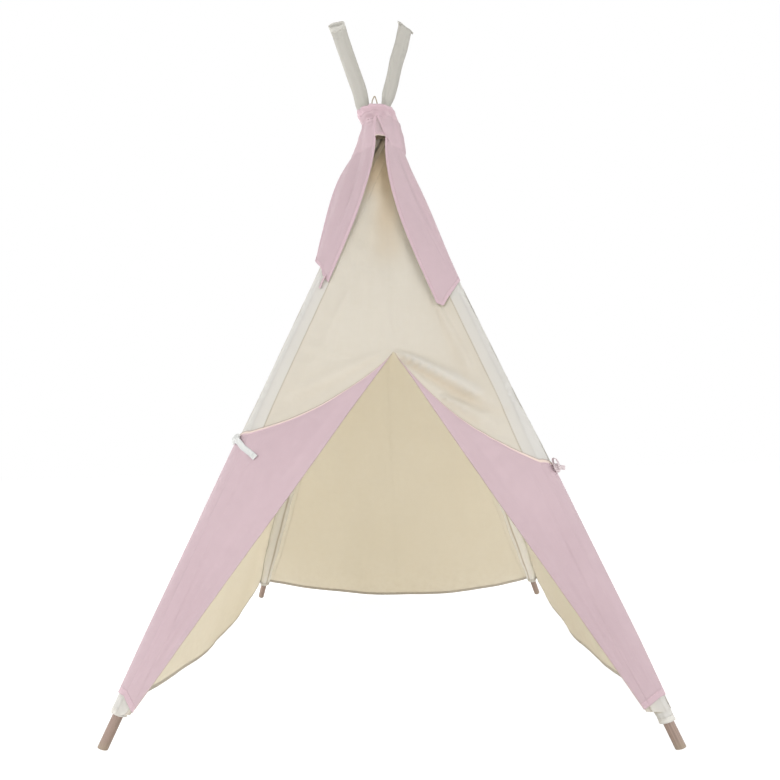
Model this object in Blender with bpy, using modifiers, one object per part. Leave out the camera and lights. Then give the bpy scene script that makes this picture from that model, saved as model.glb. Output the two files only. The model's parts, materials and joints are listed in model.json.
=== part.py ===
# A child's canvas teepee: four poles in loose sleeves, a four-panel cover, a pink cap with two
# tails, and a doorway with two door flaps folded outwards. Metres, +Z up, +Y to the back, the
# doorway facing -Y, the origin on the floor under the crossing of the poles.
import math

import bmesh
import bpy
from mathutils import Matrix, Vector

# Frame
foot_half_spacing = 0.510      # half the distance between two neighbouring feet
crossing_rise = 1.366          # from the centre of a pole's end face up to the crossing
back_pole_length = 1.800
front_pole_length = 1.585      # the front poles end just above the crossing
lower_half_length = 0.900      # each pole comes in two halves
pole_radius = 0.0095
pole_sides = 24
fit_gap = 0.0003               # between pieces that touch
joiner_length = 0.080
joiner_wall = 0.0012
leg_angles_deg = {"front_left": 225, "front_right": 315, "back_right": 45, "back_left": 135}

# Sleeves
sleeve_wall = 0.0015
bare_foot = 0.060              # wood that shows under a sleeve
sleeve_foot_half_width = 0.019
sleeve_half_width = 0.024      # flat across the corner of the cover
sleeve_half_depth = 0.0138
sleeve_flare_run = 0.160       # from the lower end up to the full width
pinch_run = 0.070              # half length of the round part at the crossing
pinch_taper = 0.260
pinch_clearance = 0.0006       # between the sleeves of neighbouring poles where they cross
upper_sleeve_half_width = 0.0150
tip_flat_run = 0.030           # flattened, sewn end beyond the pole
tip_flat_half_width = 0.025
tip_flat_half_depth = 0.0016
front_cap_run = 0.004          # closed end of a front sleeve
sleeve_sides = 16
flare_stations = 4             # rings of the loft along the flare and the taper
taper_stations = 8
upper_station_share = 0.7      # one ring more between the crossing and the pole's end

# Cover
cloth = 0.0016
cloth_gap = 0.0005             # between two layers of cloth
seam_gap = 0.0008              # between a panel's edge and the sleeve it is sewn to
cover_top_drop = 0.050         # along a pole, from the crossing down to the cover's top edge
hem_edge_height = 0.052        # at the poles
hem_middle_height = 0.008
front_hem_edge_height = 0.058
panel_sag_share = 0.022        # inward sag, of the panel's width
top_ripple = 0.0045            # soft folds that run down from the crossing
top_ripple_count = 3
top_ripple_full_share = 0.33   # of the slope, where these folds are deepest
top_ripple_end_share = 0.71
hem_ripple = 0.0060            # waves along the hem
hem_ripple_count = 4
hem_ripple_start_share = 0.5
hem_lean_shares = {"front_panel": 1.0, "right_panel": 1.12, "back_panel": 0.86, "left_panel": 0.94}
panel_columns = 20
panel_rows = 15
row_crowding = 1.35            # rows lie closer together towards the crossing

# Doorway
door_apex_x = 0.025
door_apex_height = 0.757
door_foot_left_x = -0.461
door_foot_right_x = 0.457
door_rows = 15
door_half_columns = 9
rows_over_door = 8

# Door flaps
flap_left_top_height = 0.575   # where the top edge meets the pole
flap_right_top_height = 0.500
flap_left_hem_height = 0.088
flap_right_hem_height = 0.080
flap_foot_height = 0.062
flap_top_sag = 0.023
flap_fold_height = 0.0060      # outward folds across a flap
flap_fold_count = 3
flap_fold_drift_share = 0.35   # how far the folds lean from the top to the hem, of the width
flap_fold_top_share = 0.17     # where the folds fade out at the top edge and at the hem
flap_fold_hem_share = 0.2
flap_start_drop = 0.007        # the two fold lines start just under the door's apex
flap_columns = 9
flap_wrap_columns = 5
flap_rows = 16

# Cap and tails
cap_top_rise = 0.070           # heights from the crossing
cap_waist_rise = 0.046
cap_shoulder_rise = 0.006
cap_mouth_drop = 0.034
cap_top_half_width = 0.048
cap_top_half_depth = 0.041
cap_top_shift_x = -0.0127
cap_top_shift_y = -0.0285
cap_waist_half_width = 0.0470
cap_shoulder_half_width = 0.056
cap_mouth_half_width = 0.062
cap_mouth_half_depth = 0.058
cap_gather = 0.0016            # depth of the gathers
cap_gather_count = 11
cap_sides = 44
cap_rows = 7
slit_half_deg = 26.0           # the mouth rises to a point over the doorway
slit_rise = 0.030
tail_inner_deg = 8.0           # where a tail starts, from the middle of the front
tail_outer_deg = 96.0
tail_left_inner_height = 0.930
tail_left_outer_height = 0.985
tail_right_inner_height = 0.862
tail_right_outer_height = 0.921
tail_left_end_lap = 0.014      # reach over the front panel at the lower end
tail_right_end_lap = 0.034
tail_lap_share = 0.3           # of the tail's width
tail_start_drop = 0.0034       # from the cap's mouth
tail_fold = 0.0030
tail_fold_count = 2
tail_columns = 8
tail_rows = 12

# Lashing and ties
lashing_cord_radius = 0.0016
lashing_turns = 4
lashing_ridge_points = 3
lashing_ridge_share = 2.0      # how far a turn stands out, of the cord's radius
ribbon_width = 0.012
ribbon_thickness = 0.0012
knot_half_width = 0.010
knot_half_height = 0.013
knot_half_depth = 0.0055
ribbon_lift = 0.0022           # the tape stands a little off the curve of the flap
ribbon_steps = 8
left_knot_reach_share = 1.50   # places on a flap, as flap_point counts them
left_knot_drop_share = 0.035
ribbon_end_reach_share = 0.84
ribbon_end_drop_share = 0.140
right_knot_reach_share = 1.62
right_knot_drop_share = 0.04
bow_loop_height = 0.020
bow_loop_width = 0.010
bow_knot_share = 0.8           # of the left knot
bow_open_share = 0.12          # of half a turn, where the loop's ends meet in the knot
bow_tape_share = 0.6
bow_loop_seat_share = 0.25
bow_end_length = 0.017
bow_end_way_shares = (0.85, 0.53)  # sideways and out of the knot
bow_steps = 8
tail_tie_reach_share = 0.18
tail_tie_drop = 0.030
tail_tie_width = 0.010
tail_tie_seat_share = 0.6      # from the tail's edge down to the tie, of the tie's width

slope_run = math.sqrt(2) * foot_half_spacing
inner_sleeve = pole_radius + fit_gap
pinch_radius = inner_sleeve + sleeve_wall
lean = math.atan2(slope_run, crossing_rise)
corner_slope = math.tan(lean) / math.sqrt(2)
cross_offset = (2 * pinch_radius + pinch_clearance) * math.hypot(1, corner_slope) / math.sqrt(2)
run_to_foot = math.hypot(slope_run, cross_offset)
lean = math.atan2(run_to_foot, crossing_rise)
foot_lift = pole_radius * math.sin(lean)
crossing_height = foot_lift + crossing_rise
seam_offset = seam_gap + cloth / 2
layer = cloth + cloth_gap


def smooth(t):
    t = min(max(t, 0.0), 1.0)
    return t * t * (3 - 2 * t)


def mix(a, b, t):
    return a + (b - a) * t


class Leg:
    # One pole's line: its foot, the point where it passes the crossing, and its own three axes.
    def __init__(self, name, degrees):
        turn = math.radians(degrees)
        outward = Vector((math.cos(turn), math.sin(turn), 0))
        sideways = Vector((-math.sin(turn), math.cos(turn), 0))
        self.name = name
        self.foot = outward * slope_run + Vector((0, 0, foot_lift))
        self.crossing = sideways * cross_offset + Vector((0, 0, crossing_height))
        self.along = (self.crossing - self.foot).normalized()
        self.side = Vector((self.along.y, -self.along.x, 0)).normalized()
        self.out = self.side.cross(self.along)
        self.length = (self.crossing - self.foot).length
        self.is_back = name.startswith("back")
        self.pole_length = back_pole_length if self.is_back else front_pole_length

    def point(self, s):
        return self.foot + self.along * s

    def at_height(self, z):
        return (z - self.foot.z) / self.along.z

    def around(self, s, degrees, offset):
        # A point round the sleeve: 0 degrees on its anticlockwise edge, 90 on its outer side.
        wide, deep = sleeve_size(self, s)
        turn = math.radians(degrees)
        across = self.side * math.cos(turn) * (wide + offset)
        return self.point(s) + across + self.out * math.sin(turn) * (deep + offset)

    def support(self, s, normal, offset):
        # The sleeve's furthest point along a normal, and its angle round the sleeve.
        wide, deep = sleeve_size(self, s)
        wide += offset
        deep += offset
        n_side, n_out = normal.dot(self.side), normal.dot(self.out)
        reach = math.hypot(wide * n_side, deep * n_out)
        angle = math.degrees(math.atan2(deep * n_out / reach, wide * n_side / reach))
        across = self.side * (wide * wide * n_side / reach)
        return self.point(s) + across + self.out * (deep * deep * n_out / reach), angle


def sleeve_size(leg, s):
    # Half width and half depth of the sleeve's outside at a distance s from the foot.
    from_crossing = abs(leg.length - s)
    pinch = 1 - smooth((from_crossing - pinch_run) / pinch_taper)
    if s < leg.length:
        opened = smooth((s - bare_foot) / sleeve_flare_run)
        wide = mix(sleeve_foot_half_width, sleeve_half_width, opened)
        return mix(wide, pinch_radius, pinch), mix(sleeve_half_depth, pinch_radius, pinch)
    flat = smooth((s - leg.pole_length) / tip_flat_run) if leg.is_back else 0.0
    wide = mix(mix(upper_sleeve_half_width, pinch_radius, pinch), tip_flat_half_width, flat)
    deep = mix(mix(sleeve_half_depth, pinch_radius, pinch), tip_flat_half_depth, flat)
    return wide, deep


legs = {name: Leg(name, degrees) for name, degrees in leg_angles_deg.items()}


class Panel:
    # A cloth panel between two neighbouring poles, a anticlockwise before b seen from above.
    def __init__(self, name, a, b, edge_height):
        self.a, self.b = legs[a], legs[b]
        self.edge_height = edge_height
        self.lean = hem_lean_shares[name]
        self.top = self.a.length - cover_top_drop

    def normals(self, s):
        chord = self.b.point(s) - self.a.point(s)
        return chord.cross(self.a.along).normalized(), chord.cross(self.b.along).normalized()

    def seams(self, s):
        normal_a, normal_b = self.normals(s)
        start = self.a.support(s, normal_a, seam_offset)[0]
        return start, self.b.support(s, normal_b, seam_offset)[0]

    def normal(self, u, s):
        normal_a, normal_b = self.normals(s)
        return normal_a.lerp(normal_b, u).normalized()

    def hem(self, u):
        # The hem hangs in an arc, nearly down to the floor between the poles.
        arc = math.sin(math.pi * u ** self.lean)
        return self.a.at_height(mix(self.edge_height, hem_middle_height, arc))

    def point(self, u, s):
        start, end = self.seams(s)
        width = (end - start).length
        window = 4 * u * (1 - u)
        down = (self.top - s) / self.top
        sag = -panel_sag_share * width * window
        upper = math.cos(2 * math.pi * top_ripple_count * u) * smooth(down / top_ripple_full_share)
        upper *= top_ripple * (1 - smooth(down / top_ripple_end_share))
        lower = math.sin(2 * math.pi * hem_ripple_count * u + self.lean * math.pi)
        lower *= hem_ripple * smooth((down - hem_ripple_start_share) / (1 - hem_ripple_start_share))
        return start.lerp(end, u) + self.normal(u, s) * (sag + window * (upper + lower))


front = Panel("front_panel", "front_left", "front_right", front_hem_edge_height)
side_panels = {
    "right_panel": Panel("right_panel", "front_right", "back_right", hem_edge_height),
    "back_panel": Panel("back_panel", "back_right", "back_left", hem_edge_height),
    "left_panel": Panel("left_panel", "back_left", "front_left", hem_edge_height),
}
door_top_s = front.a.at_height(door_apex_height)
door_foot_s = front.a.at_height(front_hem_edge_height)


def door_edge_u(s, foot_x):
    # Where the straight fold line from the door's apex to a foot crosses the front panel.
    start, end = front.seams(s)
    x = mix(door_apex_x, foot_x, (door_top_s - s) / (door_top_s - door_foot_s))
    return (x - start.x) / (end.x - start.x)


# Colour, roughness and metallic value of each finish.
finishes = {
    "wood": ((0.43, 0.33, 0.22), 0.6, 0.0),
    "steel": ((0.55, 0.55, 0.56), 0.35, 1.0),
    "white_canvas": ((0.74, 0.72, 0.66), 0.9, 0.0),
    "cream_canvas": ((0.72, 0.66, 0.56), 0.9, 0.0),
    "pink_canvas": ((0.66, 0.50, 0.53), 0.9, 0.0),
    "ribbon": ((0.72, 0.74, 0.72), 0.8, 0.0),
    "cord": ((0.62, 0.58, 0.50), 0.9, 0.0),
}


def material(name, colour, roughness, metallic):
    made = bpy.data.materials.new(name)
    made.use_nodes = True
    shader = made.node_tree.nodes["Principled BSDF"]
    shader.inputs["Base Color"].default_value = (*colour, 1.0)
    shader.inputs["Roughness"].default_value = roughness
    shader.inputs["Metallic"].default_value = metallic
    made.diffuse_color = (*colour, 1.0)
    return made


def collection(name, parent):
    made = bpy.data.collections.new(name)
    parent.children.link(made)
    return made


def clear_scene():
    for obj in list(bpy.data.objects):
        bpy.data.objects.remove(obj)


def hang(obj, parent):
    # Parents an object and leaves it where it is.
    obj.parent = parent
    obj.matrix_parent_inverse = Matrix.Translation(-parent.location)


def body_empty(name, place, group, parent=None):
    # An empty on the axis that a body turns about.
    empty = bpy.data.objects.new(name, None)
    empty.empty_display_size = joiner_length
    empty.location = place
    group.objects.link(empty)
    if parent:
        hang(empty, parent)
    return empty


def seat(obj, body, group, finish):
    # Gives an object its material and moves it to the object's collection, under its body.
    for other in list(obj.users_collection):
        other.objects.unlink(obj)
    group.objects.link(obj)
    hang(obj, body)
    obj.data.materials.clear()
    obj.data.materials.append(material(f"{obj.name}_{finish}", *finishes[finish]))


def mesh_object(name, points, faces):
    mesh = bpy.data.meshes.new(name)
    mesh.from_pydata(points, [], faces)
    mesh.validate()
    for polygon in mesh.polygons:
        polygon.use_smooth = True
    obj = bpy.data.objects.new(name, mesh)
    bpy.context.scene.collection.objects.link(obj)
    return obj


def thicken(obj, thickness, offset=0.0):
    solid = obj.modifiers.new("Thickness", "SOLIDIFY")
    solid.thickness = thickness
    solid.offset = offset
    solid.use_even_offset = True
    return obj


def grid_faces(columns, rows, closed=False):
    # Quads of a grid whose points are stored row after row.
    across = columns if closed else columns + 1
    faces = []
    for j in range(rows):
        for i in range(columns):
            right = (i + 1) % across
            low, high = j * across, (j + 1) * across
            faces.append((low + i, low + right, high + right, high + i))
    return faces


def cylinder_between(name, start, end, radius, sides, side_axis):
    # A cylinder whose first corner points along side_axis.
    along = (end - start).normalized()
    bpy.ops.mesh.primitive_cylinder_add(vertices=sides, radius=radius, depth=(end - start).length)
    obj = bpy.context.active_object
    obj.name = name
    obj.data.name = name
    turn = Matrix((side_axis, along.cross(side_axis), along)).transposed().to_4x4()
    obj.matrix_basis = Matrix.Translation((start + end) / 2) @ turn
    return obj


def turned(name, profile, sides):
    # A closed profile turned round the Z axis, listed down its outer side.
    count = len(profile)
    edges = [(i, (i + 1) % count) for i in range(count)]
    mesh = bpy.data.meshes.new(name)
    mesh.from_pydata([(r, 0, z) for r, z in profile], edges, [])
    obj = bpy.data.objects.new(name, mesh)
    bpy.context.scene.collection.objects.link(obj)
    screw = obj.modifiers.new("Turn", "SCREW")
    screw.steps = sides
    screw.render_steps = sides
    screw.use_merge_vertices = True
    screw.merge_threshold = 0.00001
    return obj


def add_pole(leg, body, group):
    split = leg.point(lower_half_length)
    half_gap = leg.along * (fit_gap / 2)
    halves = [
        ("pole_lower", leg.foot, split - half_gap),
        ("pole_upper", split + half_gap, leg.point(leg.pole_length)),
    ]
    for part, start, end in halves:
        obj = cylinder_between(f"{leg.name}_{part}", start, end, pole_radius, pole_sides, leg.out)
        seat(obj, body, group, "wood")
    outer = inner_sleeve + joiner_wall
    half = joiner_length / 2
    profile = [(outer, half), (outer, -half), (inner_sleeve, -half), (inner_sleeve, half)]
    joiner = turned(f"{leg.name}_joiner", profile, pole_sides)
    turn = Matrix((leg.out, leg.along.cross(leg.out), leg.along)).transposed().to_4x4()
    joiner.matrix_basis = Matrix.Translation(split) @ turn
    seat(joiner, body, group, "steel")


def ring(leg, s, wide, deep):
    points = []
    for i in range(sleeve_sides):
        turn = -2 * math.pi * i / sleeve_sides
        across = leg.side * (wide * math.cos(turn))
        points.append(leg.point(s) + across + leg.out * (deep * math.sin(turn)))
    return points


def add_sleeve(leg, body, group):
    # A tube open at the foot and closed above the pole: the outside and the inside are one loft.
    run = tip_flat_run if leg.is_back else front_cap_run
    top = leg.pole_length + run
    flare = [i / flare_stations for i in range(flare_stations + 1)]
    taper = [i / taper_stations for i in range(taper_stations + 1)]
    taper_start = leg.length - pinch_run - pinch_taper
    stations = [bare_foot + sleeve_flare_run * share for share in flare]
    stations += [leg.length / 2]
    stations += [taper_start + pinch_taper * share for share in taper]
    stations.append(leg.length)
    if leg.is_back:
        upper = mix(leg.length, leg.pole_length, upper_station_share)
        stations += [leg.length + pinch_run, upper]
        stations += [leg.pole_length + fit_gap, (leg.pole_length + top) / 2]
    points = []
    for s in stations + [top]:
        points += ring(leg, s, *sleeve_size(leg, s))
    outside_rows = len(stations)
    inside = [s for s in stations if s <= leg.pole_length]
    inside.append(leg.pole_length + fit_gap)
    for s in reversed(inside):
        wide, deep = sleeve_size(leg, min(s, leg.pole_length))
        points += ring(leg, s, wide - sleeve_wall, deep - sleeve_wall)
    count = sleeve_sides
    faces = grid_faces(count, outside_rows, closed=True)
    first_inside = (outside_rows + 1) * count
    inside_faces = grid_faces(count, len(inside) - 1, closed=True)
    faces += [tuple(first_inside + k for k in face) for face in inside_faces]
    last = first_inside + (len(inside) - 1) * count
    for i in range(count):
        right = (i + 1) % count
        faces.append((last + i, last + right, right, i))
    top_ring = outside_rows * count
    faces.append(tuple(top_ring + i for i in range(count)))
    faces.append(tuple(first_inside + i for i in reversed(range(count))))
    seat(mesh_object(f"{leg.name}_sleeve", points, faces), body, group, "white_canvas")


def add_panel(name, panel, body, group):
    points = []
    for j in range(panel_rows + 1):
        for i in range(panel_columns + 1):
            u = i / panel_columns
            s = mix(panel.top, panel.hem(u), (1 - j / panel_rows) ** row_crowding)
            points.append(panel.point(u, s))
    obj = thicken(mesh_object(name, points, grid_faces(panel_columns, panel_rows)), cloth)
    seat(obj, body, group, "cream_canvas")


def add_front_panel(body, group):
    # Two grids that share the middle line above the doorway and part below its apex.
    heights = [mix(door_foot_s, door_top_s, j / door_rows) for j in range(door_rows + 1)]
    for j in range(rows_over_door):
        left_over = (1 - (j + 1) / rows_over_door) ** row_crowding
        heights.append(mix(front.top, door_top_s, left_over))
    mesh = bmesh.new()
    middle = {}
    for foot_x, outer_u in ((door_foot_left_x, 0.0), (door_foot_right_x, 1.0)):
        rows = []
        for j, s in enumerate(heights):
            edge_u = door_edge_u(min(s, door_top_s), foot_x)
            if s > door_top_s:
                edge_u = mix(edge_u, 0.5, (s - door_top_s) / (front.top - door_top_s))
            row = []
            for i in range(door_half_columns + 1):
                at_middle = i == door_half_columns and j >= door_rows
                if at_middle and j in middle:
                    row.append(middle[j])
                    continue
                u = mix(outer_u, edge_u, i / door_half_columns)
                row.append(mesh.verts.new(front.point(u, s)))
                if at_middle:
                    middle[j] = row[-1]
            rows.append(row)
        for low, high in zip(rows, rows[1:]):
            for i in range(door_half_columns):
                corners = [low[i], low[i + 1], high[i + 1], high[i]]
                mesh.faces.new(corners if outer_u == 0.0 else corners[::-1])
    data = bpy.data.meshes.new("front_panel")
    mesh.to_mesh(data)
    mesh.free()
    obj = bpy.data.objects.new("front_panel", data)
    bpy.context.scene.collection.objects.link(obj)
    seat(thicken(obj, cloth), body, group, "cream_canvas")


def wrap_angles(is_left, s):
    # Where a second layer leaves the front panel and where it reaches the side panel.
    leg = front.a if is_left else front.b
    side_panel = side_panels["left_panel" if is_left else "right_panel"]
    front_normal = front.normals(s)[0 if is_left else 1]
    side_normal = side_panel.normals(s)[1 if is_left else 0]
    offset = seam_offset + layer
    return leg.support(s, front_normal, offset)[1], leg.support(s, side_normal, offset)[1]


def flap_line(is_left):
    # The two ends of a flap's fold line, a layer in front of the front panel.
    foot_x = door_foot_left_x if is_left else door_foot_right_x
    ends = []
    for z in (door_apex_height - flap_start_drop, flap_foot_height):
        s = front.a.at_height(z)
        u = door_edge_u(s, foot_x)
        ends.append(front.point(u, s) + front.normal(u, s) * layer)
    return ends


def flap_point(is_left, r, q):
    # r runs from the fold line to the sleeve at 1 and round it to 2, q runs down.
    p, wrap = min(r, 1.0), max(r - 1.0, 0.0)
    foot_x = door_foot_left_x if is_left else door_foot_right_x
    leg = front.a if is_left else front.b
    top_height = flap_left_top_height if is_left else flap_right_top_height
    hem_height = flap_left_hem_height if is_left else flap_right_hem_height
    start_height = door_apex_height - flap_start_drop
    inner_s = leg.at_height(mix(start_height, flap_foot_height, q))
    outer_s = leg.at_height(mix(top_height, hem_height, q))
    s = mix(inner_s, outer_s, p) - flap_top_sag * 4 * p * (1 - p) * (1 - q)
    if wrap > 0:
        start_deg, end_deg = wrap_angles(is_left, s)
        return leg.around(s, mix(start_deg, end_deg, wrap), seam_offset + layer)
    u = mix(door_edge_u(inner_s, foot_x), 0.0 if is_left else 1.0, p)
    fade = smooth(q / flap_fold_top_share) * smooth((1 - q) / flap_fold_hem_share)
    across = math.sin(math.pi * p) * fade
    folds = max(0.0, math.sin(2 * math.pi * flap_fold_count * (p + flap_fold_drift_share * q)))
    lift = layer + flap_fold_height * folds * across
    return front.point(u, s) + front.normal(u, s) * lift


def flap_frame(is_left, r, q):
    # A point on a flap with the directions inwards along it, down it and out of it.
    step = 1 / (2 * flap_rows)
    inwards = flap_point(is_left, r - step, q) - flap_point(is_left, r + step, q)
    down = flap_point(is_left, r, q + step) - flap_point(is_left, r, q)
    outward = inwards.cross(down).normalized()
    leg = front.a if is_left else front.b
    if outward.dot(leg.out) < 0:
        outward = -outward
    return flap_point(is_left, r, q), inwards.normalized(), down.normalized(), outward


def add_flap(is_left, body, group):
    name = "door_flap_left" if is_left else "door_flap_right"
    columns = flap_columns + flap_wrap_columns
    reach = [i / flap_columns for i in range(flap_columns)]
    reach += [1 + i / flap_wrap_columns for i in range(flap_wrap_columns + 1)]
    points = [flap_point(is_left, r, j / flap_rows) for j in range(flap_rows + 1) for r in reach]
    faces = grid_faces(columns, flap_rows)
    if not is_left:
        faces = [face[::-1] for face in faces]
    seat(thicken(mesh_object(name, points, faces), cloth), body, group, "pink_canvas")


def cap_section(rise):
    # Centre and half sizes of the cap at a height over the crossing.
    if rise > cap_waist_rise:
        share = smooth((rise - cap_waist_rise) / (cap_top_rise - cap_waist_rise))
        wide = mix(cap_waist_half_width, cap_top_half_width, share)
        deep = mix(cap_waist_half_width, cap_top_half_depth, share)
        return cap_top_shift_x * share, cap_top_shift_y * share, wide, deep
    if rise > cap_shoulder_rise:
        share = smooth((cap_waist_rise - rise) / (cap_waist_rise - cap_shoulder_rise))
        wide = mix(cap_waist_half_width, cap_shoulder_half_width, share)
        return 0.0, 0.0, wide, wide
    share = (cap_shoulder_rise - rise) / (cap_shoulder_rise + cap_mouth_drop)
    wide = mix(cap_shoulder_half_width, cap_mouth_half_width, share)
    return 0.0, 0.0, wide, mix(cap_shoulder_half_width, cap_mouth_half_depth, share)


def cap_mouth_rise(degrees):
    # The mouth's height: it rises to a point at the middle of the front, at 270 degrees.
    off = abs((degrees - 270 + 180) % 360 - 180)
    return -cap_mouth_drop + slit_rise * max(0.0, 1 - off / slit_half_deg)


def cap_point(degrees, rise):
    centre_x, centre_y, wide, deep = cap_section(rise)
    turn = math.radians(degrees)
    gather = 1 + cap_gather / wide * math.cos(cap_gather_count * turn)
    x = centre_x + wide * gather * math.cos(turn)
    return Vector((x, centre_y + deep * gather * math.sin(turn), crossing_height + rise))


def add_cap(body, group):
    points = []
    for j in range(cap_rows + 1):
        for i in range(cap_sides):
            degrees = 360 * i / cap_sides
            rise = mix(cap_mouth_rise(degrees), cap_top_rise, j / cap_rows)
            points.append(cap_point(degrees, rise))
    faces = grid_faces(cap_sides, cap_rows, closed=True)
    seat(thicken(mesh_object("apex_cap", points, faces), cloth), body, group, "pink_canvas")


def tail_point(is_left, p, v):
    # p runs from the inner to the outer edge, v from the cap's mouth down to the lower end.
    leg = front.a if is_left else front.b
    turn = mix(tail_inner_deg, tail_outer_deg, p)
    degrees = 270 - turn if is_left else 270 + turn
    start = cap_point(degrees, cap_mouth_rise(degrees) - tail_start_drop)
    inner = tail_left_inner_height if is_left else tail_right_inner_height
    outer = tail_left_outer_height if is_left else tail_right_outer_height
    s = leg.at_height(mix(inner, outer, p))
    start_deg, end_deg = wrap_angles(is_left, s)
    wrap = max(0.0, (p - tail_lap_share) / (1 - tail_lap_share))
    end = leg.around(s, mix(start_deg, end_deg, wrap), seam_offset + layer)
    inwards = front.b.point(s) - front.a.point(s)
    inwards *= (1 if is_left else -1) / inwards.length
    lap = tail_left_end_lap if is_left else tail_right_end_lap
    end += inwards * lap * max(0.0, 1 - p / tail_lap_share)
    point = start.lerp(end, v)
    crease = math.sin(math.pi * v) * math.sin(2 * math.pi * tail_fold_count * p) * tail_fold
    return point + leg.out * crease


def add_tail(is_left, body, group):
    name = "cap_tail_left" if is_left else "cap_tail_right"
    points = []
    for j in range(tail_rows + 1):
        for i in range(tail_columns + 1):
            points.append(tail_point(is_left, i / tail_columns, j / tail_rows))
    faces = grid_faces(tail_columns, tail_rows)
    if not is_left:
        faces = [face[::-1] for face in faces]
    seat(thicken(mesh_object(name, points, faces), cloth), body, group, "pink_canvas")


def add_lashing(body, group):
    # The turns of cord round the bundle, as one ring with a rounded ridge for each turn.
    inner = cross_offset + pinch_radius + pinch_clearance
    half = lashing_turns * lashing_cord_radius
    profile = []
    for turn in range(lashing_turns):
        centre = half - lashing_cord_radius * (2 * turn + 1)
        for step in range(lashing_ridge_points):
            angle = math.pi / 2 - math.pi * (2 * step + 1) / (2 * lashing_ridge_points)
            bulge = lashing_cord_radius * lashing_ridge_share * math.cos(angle)
            profile.append((inner + bulge, centre + lashing_cord_radius * math.sin(angle)))
    profile += [(inner, -half), (inner, half)]
    obj = turned("pole_lashing", profile, pole_sides)
    obj.matrix_basis = Matrix.Translation((0, 0, crossing_height))
    seat(obj, body, group, "cord")


def ribbon(name, points, across, width, thickness):
    # A flat strip along a few points.
    strip = []
    for index, point in enumerate(points):
        strip += [point - across[index] * width / 2, point + across[index] * width / 2]
    obj = mesh_object(name, strip, grid_faces(1, len(points) - 1))
    return thicken(obj, thickness)


def to_mesh(obj):
    # The object as its modifiers leave it, in world places.
    graph = bpy.context.evaluated_depsgraph_get()
    data = bpy.data.meshes.new_from_object(obj.evaluated_get(graph))
    data.transform(obj.matrix_world)
    name = obj.name
    bpy.data.objects.remove(obj)
    made = bpy.data.objects.new(name, data)
    bpy.context.scene.collection.objects.link(made)
    return made


def join_solids(name, first, others):
    # One closed solid from several that overlap.
    base = to_mesh(first)
    for other in others:
        cutter = to_mesh(other)
        union = base.modifiers.new("Join", "BOOLEAN")
        union.operation = "UNION"
        union.object = cutter
        base = to_mesh(base)
        bpy.data.objects.remove(cutter)
    base.name = name
    base.data.name = name
    return base


def knot(place, across, up, outward, size):
    # A small flattened ball that lies on the flap at the place given.
    bpy.ops.mesh.primitive_uv_sphere_add(segments=12, ring_count=8, radius=1.0)
    obj = bpy.context.active_object
    scale = Matrix.Diagonal((knot_half_width * size, knot_half_height * size, knot_half_depth, 1))
    turn = Matrix((across, up, outward)).transposed().to_4x4()
    obj.data.transform(Matrix.Translation(place) @ turn @ scale)
    return obj


def knot_place(is_left, r, q):
    # The knot's middle, resting on the outside of a flap.
    place, inwards, down, outward = flap_frame(is_left, r, q)
    centre = place + outward * (cloth / 2 + cloth_gap + knot_half_depth)
    across = down.cross(outward).normalized()
    return centre, across, -down, outward


def add_left_ribbon(body, group):
    # A knot at the outer edge and a flat tape that falls inwards over the flap.
    centre, across, up, outward = knot_place(True, left_knot_reach_share, left_knot_drop_share)
    points, normals = [centre], [outward]
    lift = cloth / 2 + cloth_gap + ribbon_lift
    for i in range(ribbon_steps):
        t = (i + 1) / ribbon_steps
        r = mix(left_knot_reach_share, ribbon_end_reach_share, t)
        q = mix(left_knot_drop_share, ribbon_end_drop_share, t)
        place, inwards, down, normal = flap_frame(True, r, q)
        points.append(place + normal * mix(lift + knot_half_depth, lift, smooth(2 * t)))
        normals.append(normal)
    ways = [(b - a).normalized() for a, b in zip(points, points[1:])]
    widths = [normal.cross(way).normalized() for normal, way in zip(normals, ways[:1] + ways)]
    tape = ribbon("tape", points, widths, ribbon_width, ribbon_thickness)
    made = join_solids("tie_ribbon_left", knot(centre, across, up, outward, 1.0), [tape])
    seat(made, body, group, "ribbon")


def add_right_bow(body, group):
    # A knot with one short loop that stands up and two cut ends.
    centre, across, up, outward = knot_place(False, right_knot_reach_share, right_knot_drop_share)
    points = []
    for i in range(bow_steps + 1):
        turn = math.pi * (bow_open_share + (2 - 2 * bow_open_share) * i / bow_steps)
        reach = bow_loop_height / 2 * (1 - math.cos(turn))
        swell = bow_loop_width / 2 * math.sin(turn)
        points.append(centre + up * reach + outward * (swell + bow_loop_width * bow_loop_seat_share))
    tape_width = ribbon_width * bow_tape_share
    strips = [ribbon("loop", points, [across] * len(points), tape_width, ribbon_thickness)]
    sideways, outwards = bow_end_way_shares
    for side in (-1, 1):
        end = centre + (across * side * sideways + outward * outwards) * bow_end_length
        strips.append(ribbon("end", [centre, end], [up, up], tape_width, ribbon_thickness))
    tied = knot(centre, across, up, outward, bow_knot_share)
    seat(join_solids("tie_bow_right", tied, strips), body, group, "ribbon")


def add_tail_tie(body, group):
    # A short strip that hangs from the lower end of the left tail.
    down = -front.a.along
    top = tail_point(True, tail_tie_reach_share, 1.0)
    top += down * tail_tie_width * tail_tie_seat_share
    end = top + down * tail_tie_drop
    across = front.normal(0.0, front.a.at_height(top.z)).cross(front.a.along).normalized()
    strip = ribbon("tail_tie_left", [top, end], [across] * 2, tail_tie_width, cloth)
    seat(to_mesh(strip), body, group, "pink_canvas")


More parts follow.
